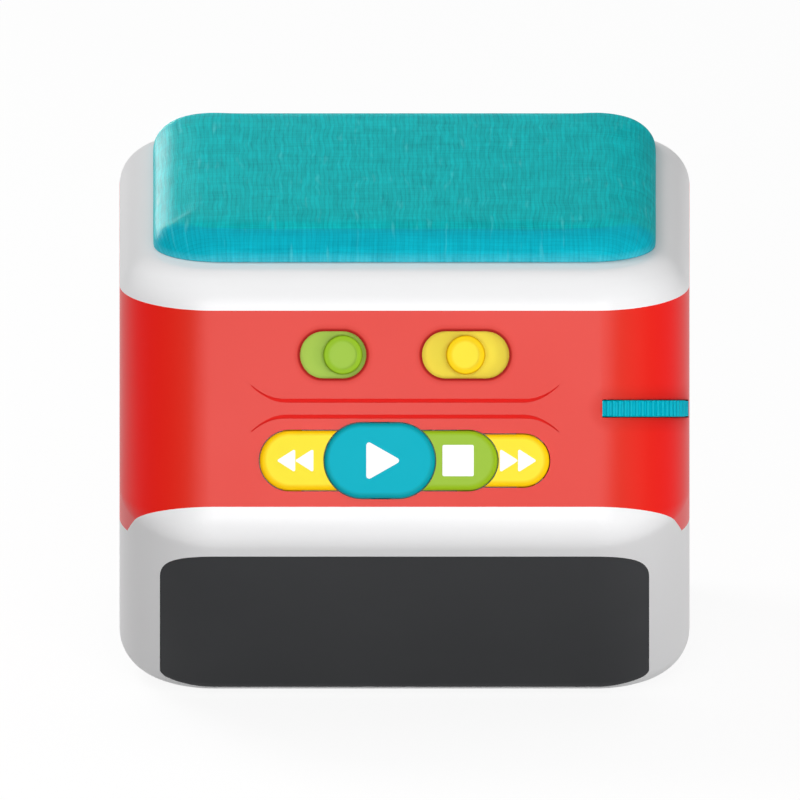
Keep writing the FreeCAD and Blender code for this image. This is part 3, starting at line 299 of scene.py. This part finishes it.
wovenCloth = {
    "thread": 0.47,        # pitch of the threads, in mm
    "wander": (0.012, 0.010, 0), "wanderScale": 11, "patchScale": 16,
    # how much each pattern counts in the mix of the two tones
    "shares": {"upStreak": 0.30, "sideStreak": 0.18, "weave": 0.14, "pairs": 0.24, "patch": 0.14},
    "ground": (0, 124, 132),
    "light": (10, 222, 226),
    "slub": (120, 232, 232),
    # painted shade: the edge's front-facing part is painted a bluer tone than the top and the other edges
    "paintedFrontGround": (0, 134, 154),
    "paintedFrontLight": (10, 200, 220),
    "lowEdgePale": (110, 206, 220),     # paler streaks towards the lowest part of the edge
    "nap": 0.1, "napRoughness": 0.36,
    "bumpStrength": 0.3,
}


def tealLinen(name, look, across):
    # plain weave read from the cloth's own flat coordinates, with wavy threads and a few slubs
    made = Finish(name)
    flat = made.node("ShaderNodeUVMap", uv_map="clothFlat").outputs["UV"]
    wander = made.node("ShaderNodeTexNoise")
    wander.inputs["Scale"].default_value = look["wanderScale"]
    wander.inputs["Detail"].default_value = 3
    made.link(flat, wander.inputs["Vector"])
    offset = made.node("ShaderNodeVectorMath", operation="MULTIPLY_ADD")
    made.link(wander.outputs["Color"], offset.inputs[0])
    offset.inputs[1].default_value = look["wander"]
    made.link(flat, offset.inputs[2])
    flat = offset.outputs["Vector"]
    split = made.node("ShaderNodeSeparateXYZ")
    made.link(flat, split.inputs["Vector"])
    threads = across / look["thread"]

    def thread(axis, share):
        wave = made.maths("SINE", made.maths("MULTIPLY", split.outputs[axis], math.pi * threads * share))
        return made.maths("ABSOLUTE", wave)

    weave = made.maths("MULTIPLY", made.maths("ADD", thread("X", 1), thread("Y", 1)), 0.5)
    pairs = made.maths("ADD", made.maths("MULTIPLY", thread("X", 0.5), 0.65),
                       made.maths("MULTIPLY", thread("Y", 0.5), 0.35))
    upStreak = made.noise(made.stretched(flat, (threads * 0.5, threads * 0.03, 1)), 1.0, 3, 0.6)
    sideStreak = made.noise(made.stretched(flat, (threads * 0.03, threads * 0.5, 7)), 1.0, 3, 0.6)
    patch = made.noise(flat, look["patchScale"], 3, 0.6)
    slub = made.noise(made.stretched(flat, (threads * 0.3, threads * 0.03, 3)), 1.0, 2, 0.5)
    patterns = {"weave": weave, "pairs": pairs}
    for part, source in (("upStreak", upStreak), ("sideStreak", sideStreak), ("patch", patch)):
        patterns[part] = made.ramp(source, 0, 1, *streakRange)
    tone = 0.0
    for part, share in look["shares"].items():
        tone = made.maths("ADD", tone, made.maths("MULTIPLY", patterns[part], share))
    edge = made.node("ShaderNodeAttribute", attribute_name="clothEdge").outputs["Fac"]
    # painted shade: where the edge faces forward it takes the bluer tones
    turned = made.maths("MULTIPLY", made.ramp(edge, 0, 1, -0.07, 0.03),
                        made.ramp(made.facing((0, -1, 0)), 0, 1, 0, 0.2))
    top = made.blend(tone, linear(*look["ground"]), linear(*look["light"]))
    side = made.blend(tone, linear(*look["paintedFrontGround"]), linear(*look["paintedFrontLight"]))
    colour = made.blend(turned, top, side)
    colour = made.blend(made.ramp(slub, 0, 0.3, 0.62, 0.78), colour, linear(*look["slub"]))
    # paler streaks towards the lowest part of the edge
    under = made.maths("MULTIPLY", made.ramp(edge, 0, 0.45, 0.82, 1.0),
                       made.ramp(upStreak, 0.4, 1, 0.35, 0.65))
    colour = made.blend(under, colour, linear(*look["lowEdgePale"]))
    made.link(colour, made.shader.inputs["Base Color"])
    height = made.maths("ADD", weave, made.maths("MULTIPLY", upStreak, 0.7))
    made.bump(height, look["bumpStrength"], fineRelief * 2)
    made.set(Roughness=0.9, Specular_IOR_Level=0.03, Coat_Weight=look["nap"],
             Coat_Roughness=look["napRoughness"])
    return made.material


shellPlastic = {
    "colour": linear(246, 246, 247),
    "cloudScale": 14, "cloudDepth": 0.985,
    "grainScale": 3200, "grainStrength": 0.03,
    "roughness": 0.42, "coat": 0.12, "coatRoughness": 0.25, "gloss": 0.45,
}
bandPlastic = {
    "colour": linear(229, 42, 22),
    # painted shade: the red deepens towards the ends and back of the band
    "ends": linear(252, 2, 0),
    "endsShare": 0.85,
    "endsAcross": (45, 56), "endsBehind": (15, 40),     # where that painted shade starts and is full, in mm
    # painted shade in the grooves, wells and slot walls
    "recessShade": linear(228, 24, 14),
    "recessFrom": (0.06, 0.3), "recessDull": 0.5,
    "recessReach": 40, "recessDepth": 9,     # grooves and slots lie this near the middle and the face
    # painted shade round the slots and the wheel: the dark line's colour, and how the line and its soft
    # halo fade
    "line": linear(160, 20, 8),
    "lineFade": (0.2, 0.7),
    "haloShare": 0.2, "haloStart": 0.3, "depthFade": 5,
    # painted shade round the slots and the wheel, a dark line at the edge and a soft halo beyond it: x,
    # row, half straight, radius, strength, spread, deepest
    "outlines": [(-15.02, 38.7, 2.03, 4.95, 1.0, 1.6, 9), (12.87, 38.7, 4.24, 4.95, 1.0, 1.6, 9),
                 (52.6, 27.4, 9.0, 1.85, 0.15, 3.4, 18)],
    "cloudScale": 18, "cloudDepth": 0.96,
    "grainScale": 3200, "grainStrength": 0.02,
    "roughness": 0.38, "coat": 0.03, "coatRoughness": 0.3, "gloss": 0.27,
}
panelPlastic = {
    "colour": linear(59, 60, 62),
    "cloudScale": 30, "cloudDepth": 0.94,
    "grainScale": 2400, "grainStrength": 0.10,
    "roughness": 0.62, "coat": 0.0, "coatRoughness": 0.3, "gloss": 0.12,
}
blackPlastic = dict(panelPlastic, colour=linear(28, 28, 30), gloss=0.3, roughness=0.5)
# each rim tone is the painted shade of a key's bevel, sides and border, and also the deep end of its random
# clouding; ring is a knob's painted shade and the plate its painted light
keyLooks = {
    "keyRewind": {"face": linear(255, 236, 62),
                  "rim": linear(255, 206, 10), "borderShade": (-3.95, 16.6, 20, 6.3)},
    "keyPlay": {"face": linear(0, 181, 201),
                "rim": linear(4, 160, 174), "borderShade": (-5.2, 16.55, 3.75, 7.95)},
    "keyStop": {"face": linear(162, 200, 68),
                "rim": linear(152, 190, 30), "borderShade": (-6.8, 16.6, 20, 6.3)},
    "keyForward": {"face": linear(255, 236, 62),
                   "rim": linear(255, 210, 14), "borderShade": (4.8, 16.6, 20, 5.52)},
    "slidePower": {"face": linear(166, 204, 76), "rim": linear(132, 176, 30), "ring": linear(152, 196, 40),
                   "plate": linear(176, 212, 88), "knob": (-12.99, 38.7, 0, 4.15)},
    "slideMode": {"face": linear(255, 236, 66), "rim": linear(236, 188, 10), "ring": linear(254, 216, 20),
                  "plate": linear(255, 242, 82), "knob": (12.87, 38.7, 0, 4.15)},
    "wheelTeal": {"face": linear(0, 184, 204), "rim": linear(0, 180, 200)},
}
finishes = {
    "shell": mouldedPlastic("satinWhiteShell", shellPlastic),
    "band": mouldedPlastic("coralRedBand", bandPlastic),
    "panel": mouldedPlastic("darkChinPanel", panelPlastic),
    "grille": mouldedPlastic("blackGrille", blackPlastic),
    "chip": mouldedPlastic("blackPackage", dict(blackPlastic, grainStrength=0.15)),
    "cell": mouldedPlastic("cellSleeve", dict(blackPlastic, colour=linear(46, 70, 92), coat=0.4)),
    "icon": mouldedPlastic("signWhite", dict(shellPlastic, colour=linear(250, 250, 250), cloudScale=60)),
    "rubber": softRubber("footRubber", linear(34, 34, 36), 160),
    "foam": softRubber("gasketFoam", linear(58, 58, 60), 420),
    "lead": softRubber("leadSleeve", linear(150, 24, 22), 300),
    "screw": brushedMetal("zincScrew", linear(176, 178, 184), 0.34, (1, 1, 0.1)),
    "steel": brushedMetal("pressedSteel", linear(168, 170, 174), 0.4, (1, 0.08, 1)),
    "contact": brushedMetal("springContact", linear(206, 196, 150), 0.3, (0.1, 1, 1)),
    "magnet": brushedMetal("magnetCoat", linear(74, 76, 80), 0.55, (1, 1, 1)),
    "board": circuitBoard("boardMask"),
    "cone": pressedPaper("conePaper", linear(44, 42, 40)),
}
keyMould = {
    "bevel": (0.80, 0.985),     # how squarely a surface looks forward, where the rim's painted shade ends
    "ringEdge": (-1.5, -0.9), "borderEdge": (-1.25, -0.65), "plateDepth": (0.1, 0.5),     # in mm
    "clouding": 0.08, "cloudScale": 90,
    "grainScale": 2600, "grainStrength": 0.04,
    "roughness": 0.45, "gloss": 0.06,
}
for name, tones in keyLooks.items():
    finishes[name] = keyPlastic(name, dict(keyMould, **tones))
nodeFinish = {
    "rewind_button": "keyRewind", "play_button": "keyPlay", "stop_button": "keyStop",
    "forward_button": "keyForward", "power_slider": "slidePower", "mode_slider": "slideMode",
    "volume_wheel": "wheelTeal",
}
print("finishes made")


def smoothEdges(settings):
    # joins a piece's triangles and keeps only its real edges sharp
    tree = bpy.data.node_groups.new("mouldedEdges", "GeometryNodeTree")
    tree.interface.new_socket("Geometry", in_out="INPUT", socket_type="NodeSocketGeometry")
    tree.interface.new_socket("Join Distance", in_out="INPUT", socket_type="NodeSocketFloat")
    tree.interface.new_socket("Sharp Angle", in_out="INPUT", socket_type="NodeSocketFloat")
    tree.interface.new_socket("Geometry", in_out="OUTPUT", socket_type="NodeSocketGeometry")
    start = tree.nodes.new("NodeGroupInput")
    end = tree.nodes.new("NodeGroupOutput")
    merge = tree.nodes.new("GeometryNodeMergeByDistance")
    smooth = tree.nodes.new("GeometryNodeSetShadeSmooth")
    smooth.domain = "FACE"
    sharp = tree.nodes.new("GeometryNodeSetShadeSmooth")
    sharp.domain = "EDGE"
    angle = tree.nodes.new("GeometryNodeInputMeshEdgeAngle")
    gentle = tree.nodes.new("FunctionNodeCompare")
    gentle.data_type = "FLOAT"
    gentle.operation = "LESS_THAN"
    tree.links.new(start.outputs["Geometry"], merge.inputs["Geometry"])
    tree.links.new(start.outputs["Join Distance"], merge.inputs["Distance"])
    tree.links.new(merge.outputs["Geometry"], smooth.inputs["Geometry"])
    tree.links.new(smooth.outputs["Geometry"], sharp.inputs["Geometry"])
    tree.links.new(angle.outputs["Unsigned Angle"], gentle.inputs[0])
    tree.links.new(start.outputs["Sharp Angle"], gentle.inputs[1])
    tree.links.new(gentle.outputs["Result"], sharp.inputs["Shade Smooth"])
    tree.links.new(sharp.outputs["Geometry"], end.inputs["Geometry"])
    sockets = {item.name: item.identifier for item in tree.interface.items_tree if item.in_out == "INPUT"}
    return tree, {sockets["Join Distance"]: settings["join"], sockets["Sharp Angle"]: settings["sharp"]}


mouldedEdge = {"join": 0.000002, "sharp": math.radians(28)}
edgeTree, edgeValues = smoothEdges(mouldedEdge)
for name, piece in frame["nodes"].items():
    slotName = next(item["material_slot"] for item in frame["record"]["subparts"] if item["node"] == name)
    finish = finishes.get(nodeFinish.get(name, slotName))
    if finish is not None:
        piece.data.materials.clear()
        piece.data.materials.append(finish)
    modifier = piece.modifiers.new("mouldedEdges", "NODES")
    modifier.node_group = edgeTree
    for socket, value in edgeValues.items():
        modifier[socket] = value
    weighted = piece.modifiers.new("evenShading", "WEIGHTED_NORMAL")
    weighted.keep_sharp = True
print("moulded pieces finished")


clothPad = {
    "size": 105.8, "height": 5.9, "corner": 13.5,
    "edgeRound": 5.8,
    "crown": 0.35,
    "lift": 0.05, "turnedIn": ((0, 0.25), (2, 2.2)),     # how far in under the edge, and the cloth it takes
    "around": 176, "topRings": 26, "edgeRings": 8,
    "flatAcross": 130.0,   # how much flat cloth the weave's coordinates span
    "pressure": 4.0, "frames": 20, "mostMove": 0.3,     # how the cloth is stretched over its padding
    "heldFrom": 0.93, "heldRise": 0.1,     # which edge share and height are held still
    "quality": 6, "clothMass": 0.15, "stretchStiffness": 30, "bendStiffness": 2,
}


def roundedSquare(half, corner, count):
    # points and outward directions round a square with rounded corners, evenly spaced
    straight = 2 * (half - corner)
    arc = corner * math.pi / 2
    total = 4 * (straight + arc)
    found = []
    for index in range(count):
        along = (index + 0.5) * total / count
        side = int(along // (straight + arc))
        rest = along - side * (straight + arc)
        turn = Matrix.Rotation(side * math.pi / 2, 2)
        if rest < straight:
            point = Vector((half, -half + corner + rest))
            outward = Vector((1, 0))
        else:
            angle = (rest - straight) / corner
            outward = Vector((math.cos(angle), math.sin(angle)))
            point = Vector((half - corner, half - corner)) + outward * corner
        found.append((turn @ point, turn @ outward))
    return found


def settleCloth(pad, look):
    # the cloth is held at its lower edge and swells a little under pressure, and no point moves far
    scene = bpy.context.scene
    before = [vertex.co.copy() for vertex in pad.data.vertices]
    held = pad.vertex_groups.new(name="heldEdge")
    turned = pad.data.attributes["clothEdge"].data
    held.add([index for index, item in enumerate(turned) if item.value > look["heldFrom"]],
             1.0, "REPLACE")
    lowest = min(place.z for place in before)
    held.add([index for index, place in enumerate(before) if place.z < lowest + look["heldRise"] * mm],
             1.0, "REPLACE")
    cloth = pad.modifiers.new("stretchedCloth", "CLOTH")
    cloth.settings.quality = look["quality"]
    cloth.settings.mass = look["clothMass"]
    cloth.settings.tension_stiffness = cloth.settings.compression_stiffness = look["stretchStiffness"]
    cloth.settings.bending_stiffness = look["bendStiffness"]
    cloth.settings.vertex_group_mass = "heldEdge"
    cloth.settings.use_pressure = True
    cloth.settings.uniform_pressure_force = look["pressure"]
    cloth.settings.effector_weights.gravity = 0
    cloth.point_cache.frame_start = 1
    cloth.point_cache.frame_end = look["frames"]
    for step in range(1, look["frames"] + 1):
        scene.frame_set(step)
    settled = pad.evaluated_get(bpy.context.evaluated_depsgraph_get()).to_mesh()
    moved = [vertex.co.copy() for vertex in settled.vertices]
    pad.evaluated_get(bpy.context.evaluated_depsgraph_get()).to_mesh_clear()
    pad.modifiers.clear()
    pad.vertex_groups.clear()
    furthest = 0
    for vertex, start, end in zip(pad.data.vertices, before, moved):
        shift = end - start
        if shift.length > look["mostMove"] * mm:
            shift *= look["mostMove"] * mm / shift.length
        furthest = max(furthest, shift.length)
        vertex.co = start + shift
    scene.frame_set(1)
    print("cloth settled, furthest move %.2f mm" % (furthest / mm))


def makeClothPad(look):
    low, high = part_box("fabric_cover")
    centre = Vector(((low[0] + high[0]) / 2, (low[1] + high[1]) / 2)) / mm
    deck = low[2] / mm
    bend = look["edgeRound"]
    inner = look["size"] / 2 - bend
    ring = roundedSquare(inner, look["corner"] - bend, look["around"])
    mesh = bmesh.new()
    flat = mesh.loops.layers.uv.new("clothFlat")
    turned = mesh.verts.layers.float.new("clothEdge")
    flats = {}

    def add(place, spread, height, edge=0.0):
        vertex = mesh.verts.new(((centre.x + place.x) * mm, (centre.y + place.y) * mm,
                                 (deck + height) * mm))
        flats[vertex] = spread / look["flatAcross"] + Vector((0.5, 0.5))
        vertex[turned] = edge
        return vertex

    def crownAt(place):
        share = max(abs(place.x), abs(place.y)) / inner
        return look["crown"] * (1 - share ** 4)

    rings = []
    for step in range(1, look["topRings"] + 1):
        share = step / look["topRings"]
        rings.append([add(point * share, point * share, look["height"] + crownAt(point * share),
                          (share - 1) * inner / bend) for point, outward in ring])
    for step in range(1, look["edgeRings"] + 1):
        angle = math.pi / 2 * step / look["edgeRings"]
        out = bend * math.sin(angle)
        drop = bend * (1 - math.cos(angle))
        rings.append([add(point + outward * out, point + outward * bend * angle, look["height"] - drop,
                          step / look["edgeRings"]) for point, outward in ring])
    for inward, spread in look["turnedIn"]:
        rings.append([add(point + outward * (bend - inward),
                          point + outward * (bend * math.pi / 2 + spread), look["lift"], 1.0)
                      for point, outward in ring])
    middle = add(Vector((0, 0)), Vector((0, 0)), look["height"] + look["crown"], -inner / bend)
    below = add(Vector((0, 0)), Vector((0, 0)), look["lift"], 1.0)
    count = look["around"]
    for index in range(count):
        after = (index + 1) % count
        mesh.faces.new((middle, rings[0][index], rings[0][after]))
        mesh.faces.new((below, rings[-1][after], rings[-1][index]))
        for first, second in zip(rings, rings[1:]):
            mesh.faces.new((first[index], second[index], second[after], first[after]))
    for face in mesh.faces:
        face.smooth = True
        for loop in face.loops:
            loop[flat].uv = flats[loop.vert]
    bmesh.ops.recalc_face_normals(mesh, faces=mesh.faces)
    data = bpy.data.meshes.new("cloth_pad")
    mesh.to_mesh(data)
    mesh.free()
    pad = bpy.data.objects.new("cloth_pad", data)
    bpy.context.scene.collection.objects.link(pad)
    data.materials.append(tealLinen("tealLinen", wovenCloth, look["flatAcross"]))
    settleCloth(pad, look)
    finer = pad.modifiers.new("finerCloth", "SUBSURF")
    finer.levels = finer.render_levels = 1
    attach(pad, "housing")
    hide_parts("fabric_cover")


makeClothPad(clothPad)
print("cloth pad made")


volumeWheel = {
    "x": 45.3, "depth": 14.25, "row": 27.4,
    "radius": 14.5, "thick": 3.5,
    "ribs": 72, "ribRadius": 0.42, "ribSink": 0.42,
    "ribSides": 10, "ribShare": 0.92,     # sides of a rib, and its length as a share of the thickness
    "edgeRound": 0.45, "roundSteps": 4,
    "bore": 2.02,
    "around": 144,
    "join": 1e-7, "sharp": math.radians(35),
}


def ribbedWheelTree(look):
    # a turned rim profile, and one rounded rib repeated round it
    tree = bpy.data.node_groups.new("ribbedWheel", "GeometryNodeTree")
    for name in ("Radius", "Thickness", "Rib Radius", "Rib Sink", "Edge Round", "Bore"):
        tree.interface.new_socket(name, in_out="INPUT", socket_type="NodeSocketFloat")
    tree.interface.new_socket("Ribs", in_out="INPUT", socket_type="NodeSocketInt")
    tree.interface.new_socket("Finish", in_out="INPUT", socket_type="NodeSocketMaterial")
    tree.interface.new_socket("Geometry", in_out="OUTPUT", socket_type="NodeSocketGeometry")
    start = tree.nodes.new("NodeGroupInput")
    end = tree.nodes.new("NodeGroupOutput")

    def maths(operation, first, second):
        made = tree.nodes.new("ShaderNodeMath")
        made.operation = operation
        for index, value in enumerate((first, second)):
            if isinstance(value, (int, float)):
                made.inputs[index].default_value = value
            else:
                tree.links.new(value, made.inputs[index])
        return made.outputs[0]

    rim = maths("SUBTRACT", start.outputs["Radius"], start.outputs["Rib Sink"])
    # the body is a ring of rounded section, turned about Z
    section = tree.nodes.new("GeometryNodeCurvePrimitiveQuadrilateral")
    tree.links.new(maths("SUBTRACT", rim, start.outputs["Bore"]), section.inputs["Width"])
    tree.links.new(start.outputs["Thickness"], section.inputs["Height"])
    soften = tree.nodes.new("GeometryNodeFilletCurve")
    soften.mode = "POLY"
    soften.inputs["Count"].default_value = look["roundSteps"]
    tree.links.new(start.outputs["Edge Round"], soften.inputs["Radius"])
    tree.links.new(section.outputs["Curve"], soften.inputs["Curve"])
    path = tree.nodes.new("GeometryNodeCurvePrimitiveCircle")
    path.inputs["Resolution"].default_value = look["around"]
    tree.links.new(maths("MULTIPLY", maths("ADD", rim, start.outputs["Bore"]), 0.5), path.inputs["Radius"])
    body = tree.nodes.new("GeometryNodeCurveToMesh")
    tree.links.new(path.outputs["Curve"], body.inputs["Curve"])
    tree.links.new(soften.outputs["Curve"], body.inputs["Profile Curve"])
    # ribs stand upright, evenly round the rim
    spots = tree.nodes.new("GeometryNodeMeshCircle")
    tree.links.new(start.outputs["Ribs"], spots.inputs["Vertices"])
    tree.links.new(maths("SUBTRACT", start.outputs["Radius"], start.outputs["Rib Radius"]),
                   spots.inputs["Radius"])
    rib = tree.nodes.new("GeometryNodeMeshCylinder")
    rib.fill_type = "NGON"
    rib.inputs["Vertices"].default_value = look["ribSides"]
    tree.links.new(start.outputs["Rib Radius"], rib.inputs["Radius"])
    tree.links.new(maths("MULTIPLY", start.outputs["Thickness"], look["ribShare"]), rib.inputs["Depth"])
    spread = tree.nodes.new("GeometryNodeInstanceOnPoints")
    tree.links.new(spots.outputs["Mesh"], spread.inputs["Points"])
    tree.links.new(rib.outputs["Mesh"], spread.inputs["Instance"])
    join = tree.nodes.new("GeometryNodeJoinGeometry")
    tree.links.new(body.outputs["Mesh"], join.inputs["Geometry"])
    tree.links.new(spread.outputs["Instances"], join.inputs["Geometry"])
    solid = tree.nodes.new("GeometryNodeRealizeInstances")
    paint = tree.nodes.new("GeometryNodeSetMaterial")
    tree.links.new(join.outputs["Geometry"], solid.inputs["Geometry"])
    tree.links.new(solid.outputs["Geometry"], paint.inputs["Geometry"])
    tree.links.new(start.outputs["Finish"], paint.inputs["Material"])
    tree.links.new(paint.outputs["Geometry"], end.inputs["Geometry"])
    return tree


def grown(name, tree, values):
    # runs a geometry tree on an empty mesh and keeps the plain mesh it makes
    holder = bpy.data.objects.new(name, bpy.data.meshes.new(name + "Seed"))
    bpy.context.scene.collection.objects.link(holder)
    modifier = holder.modifiers.new(name, "NODES")
    modifier.node_group = tree
    sockets = {item.name: item.identifier for item in tree.interface.items_tree if item.in_out == "INPUT"}
    for key, value in values.items():
        modifier[sockets[key]] = value
    bpy.context.view_layer.update()
    mesh = bpy.data.meshes.new_from_object(holder.evaluated_get(bpy.context.evaluated_depsgraph_get()))
    holder.modifiers.clear()
    holder.data = mesh
    mesh.name = name
    return holder


def makeVolumeWheel(look):
    wheel = grown("volume_wheel_ribbed", ribbedWheelTree(look), {
        "Radius": look["radius"] * mm, "Thickness": look["thick"] * mm,
        "Rib Radius": look["ribRadius"] * mm, "Rib Sink": look["ribSink"] * mm,
        "Edge Round": look["edgeRound"] * mm, "Bore": look["bore"] * mm,
        "Ribs": look["ribs"], "Finish": finishes["wheelTeal"],
    })
    edit = bmesh.new()
    edit.from_mesh(wheel.data)
    bmesh.ops.remove_doubles(edit, verts=edit.verts, dist=look["join"])
    bmesh.ops.recalc_face_normals(edit, faces=edit.faces)
    edit.to_mesh(wheel.data)
    edit.free()
    wheel.data.transform(Matrix.Translation(onFace(look["x"], look["depth"], look["row"]))
                         @ Matrix.Rotation(-faceLean, 4, "X"))
    wheel.data.shade_smooth()
    wheel.data.set_sharp_from_angle(angle=look["sharp"])
    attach(wheel, "volume")
    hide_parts("volume_wheel")


makeVolumeWheel(volumeWheel)
print("volume wheel made")


studio = {
    "floorSize": 24.0,
    "floorWhite": 0.40, "floorGlow": 0.90, "floorShade": 0.12,
    "skyLow": 0.22, "skyHigh": 0.48, "skySide": 0.12,
    "viewScale": 0.16842,
    "viewX": -0.95, "viewRise": 29.2, "viewDistance": 900,
}


def paleFloor(look):
    # seen straight or mirrored it is a glowing white, and the light it sends back is a greyer matt
    made = bpy.data.materials.new("paleFloor")
    made.use_nodes = True
    tree = made.node_tree
    tree.nodes.clear()
    path = tree.nodes.new("ShaderNodeLightPath")
    seen = tree.nodes.new("ShaderNodeMath")
    seen.operation = "MAXIMUM"
    tree.links.new(path.outputs["Is Camera Ray"], seen.inputs[0])
    through = tree.nodes.new("ShaderNodeMath")
    through.operation = "MAXIMUM"
    tree.links.new(path.outputs["Is Glossy Ray"], through.inputs[0])
    tree.links.new(path.outputs["Is Transmission Ray"], through.inputs[1])
    tree.links.new(through.outputs[0], seen.inputs[1])
    grain = tree.nodes.new("ShaderNodeTexNoise")
    grain.inputs["Scale"].default_value = 30
    place = tree.nodes.new("ShaderNodeTexCoord")
    tree.links.new(place.outputs["Object"], grain.inputs["Vector"])
    tone = tree.nodes.new("ShaderNodeMapRange")
    tone.inputs["To Min"].default_value = look["floorWhite"] * 0.99
    tone.inputs["To Max"].default_value = look["floorWhite"]
    tree.links.new(grain.outputs["Fac"], tone.inputs["Value"])
    matt = tree.nodes.new("ShaderNodeBsdfDiffuse")
    tree.links.new(tone.outputs["Result"], matt.inputs["Color"])
    bright = tree.nodes.new("ShaderNodeBsdfDiffuse")
    bright.inputs["Color"].default_value = (look["floorShade"], look["floorShade"], look["floorShade"], 1)
    glow = tree.nodes.new("ShaderNodeEmission")
    glow.inputs["Strength"].default_value = look["floorGlow"]
    both = tree.nodes.new("ShaderNodeAddShader")
    tree.links.new(bright.outputs[0], both.inputs[0])
    tree.links.new(glow.outputs[0], both.inputs[1])
    mix = tree.nodes.new("ShaderNodeMixShader")
    tree.links.new(seen.outputs[0], mix.inputs["Fac"])
    tree.links.new(matt.outputs[0], mix.inputs[1])
    tree.links.new(both.outputs[0], mix.inputs[2])
    out = tree.nodes.new("ShaderNodeOutputMaterial")
    tree.links.new(mix.outputs[0], out.inputs["Surface"])
    return made


def makeFloor(look):
    reach = look["floorSize"] / 2
    data = bpy.data.meshes.new("studio_floor")
    data.from_pydata([(-reach, -reach, 0), (reach, -reach, 0), (reach, reach, 0), (-reach, reach, 0)],
                     [], [(0, 1, 2, 3)])
    floor = bpy.data.objects.new("studio_floor", data)
    bpy.context.scene.collection.objects.link(floor)
    data.materials.append(paleFloor(look))


def makeSky(look):
    # a soft room, pale overhead and dimmer towards the horizon
    world = bpy.data.worlds.new("softRoom")
    world.use_nodes = True
    tree = world.node_tree
    back = tree.nodes["Background"]
    back.inputs["Color"].default_value = (1, 1, 1, 1)
    place = tree.nodes.new("ShaderNodeTexCoord")
    split = tree.nodes.new("ShaderNodeSeparateXYZ")
    tree.links.new(place.outputs["Generated"], split.inputs["Vector"])
    level = tree.nodes.new("ShaderNodeMapRange")
    level.inputs["To Min"].default_value = look["skyLow"]
    level.inputs["To Max"].default_value = look["skyHigh"]
    tree.links.new(split.outputs["Z"], level.inputs["Value"])
    side = tree.nodes.new("ShaderNodeMath")
    side.operation = "MULTIPLY_ADD"
    side.inputs[1].default_value = look["skySide"]
    tree.links.new(split.outputs["X"], side.inputs[0])
    tree.links.new(level.outputs["Result"], side.inputs[2])
    below = tree.nodes.new("ShaderNodeMath")
    below.operation = "LESS_THAN"
    below.inputs[1].default_value = 0.0
    tree.links.new(split.outputs["Z"], below.inputs[0])
    shown = tree.nodes.new("ShaderNodeMix")
    shown.data_type = "FLOAT"
    tree.links.new(below.outputs[0], shown.inputs[0])
    tree.links.new(side.outputs[0], shown.inputs[2])
    shown.inputs[3].default_value = 1.0     # white under the floor's edge
    tree.links.new(shown.outputs[0], back.inputs["Strength"])
    bpy.context.scene.world = world


def softLamp(name, look):
    data = bpy.data.lights.new(name, "AREA")
    data.shape = "RECTANGLE"
    data.size = look["wide"]
    data.size_y = look["tall"]
    data.energy = look["power"]
    lamp = bpy.data.objects.new(name, data)
    bpy.context.scene.collection.objects.link(lamp)
    lamp.location = look["at"]
    aim = Vector(look["towards"]) - Vector(look["at"])
    lamp.rotation_euler = aim.to_track_quat("-Z", "Y").to_euler()
    lamp.visible_glossy = look.get("mirrored", True)
    return lamp


def makeCamera(look):
    data = bpy.data.cameras.new("shopView")
    data.type = "ORTHO"
    data.ortho_scale = look["viewScale"]
    camera = bpy.data.objects.new("shopView", data)
    bpy.context.scene.collection.objects.link(camera)
    camera.location = onFace(look["viewX"], -look["viewDistance"], look["viewRise"])
    camera.rotation_euler = (math.pi / 2 - faceLean, 0, 0)
    bpy.context.scene.camera = camera


lamps = {
    "keyLamp": {"at": (-0.50, 0.30, 0.72), "towards": (0, 0, 0.08), "wide": 0.4, "tall": 0.4, "power": 3.0,
                "mirrored": False},
    "frontPanel": {"at": tuple(onFace(0, -800, 25)), "towards": tuple(onFace(0, 0, 25)),
                   "wide": 0.6, "tall": 0.26, "power": 3.7},
    "lowFill": {"at": (0.6, -0.55, 0.10), "towards": (0, -0.03, 0.03), "wide": 0.35, "tall": 0.2,
                "power": 1.2, "mirrored": False},
}
makeFloor(studio)
makeSky(studio)
for name, look in lamps.items():
    softLamp(name, look)
# a low lamp behind, which lights the cloth alone
backGlow = {"at": (-0.35, 0.87, 0.12), "towards": (-0.05, 0, 0.10),
            "wide": 0.5, "tall": 0.10, "power": 5.6}
padOnly = bpy.data.collections.new("backGlowReach")
padOnly.objects.link(bpy.data.objects["cloth_pad"])
softLamp("backGlow", backGlow).light_linking.receiver_collection = padOnly
makeCamera(studio)
bpy.context.scene.view_settings.view_transform = "Standard"
print("studio ready")
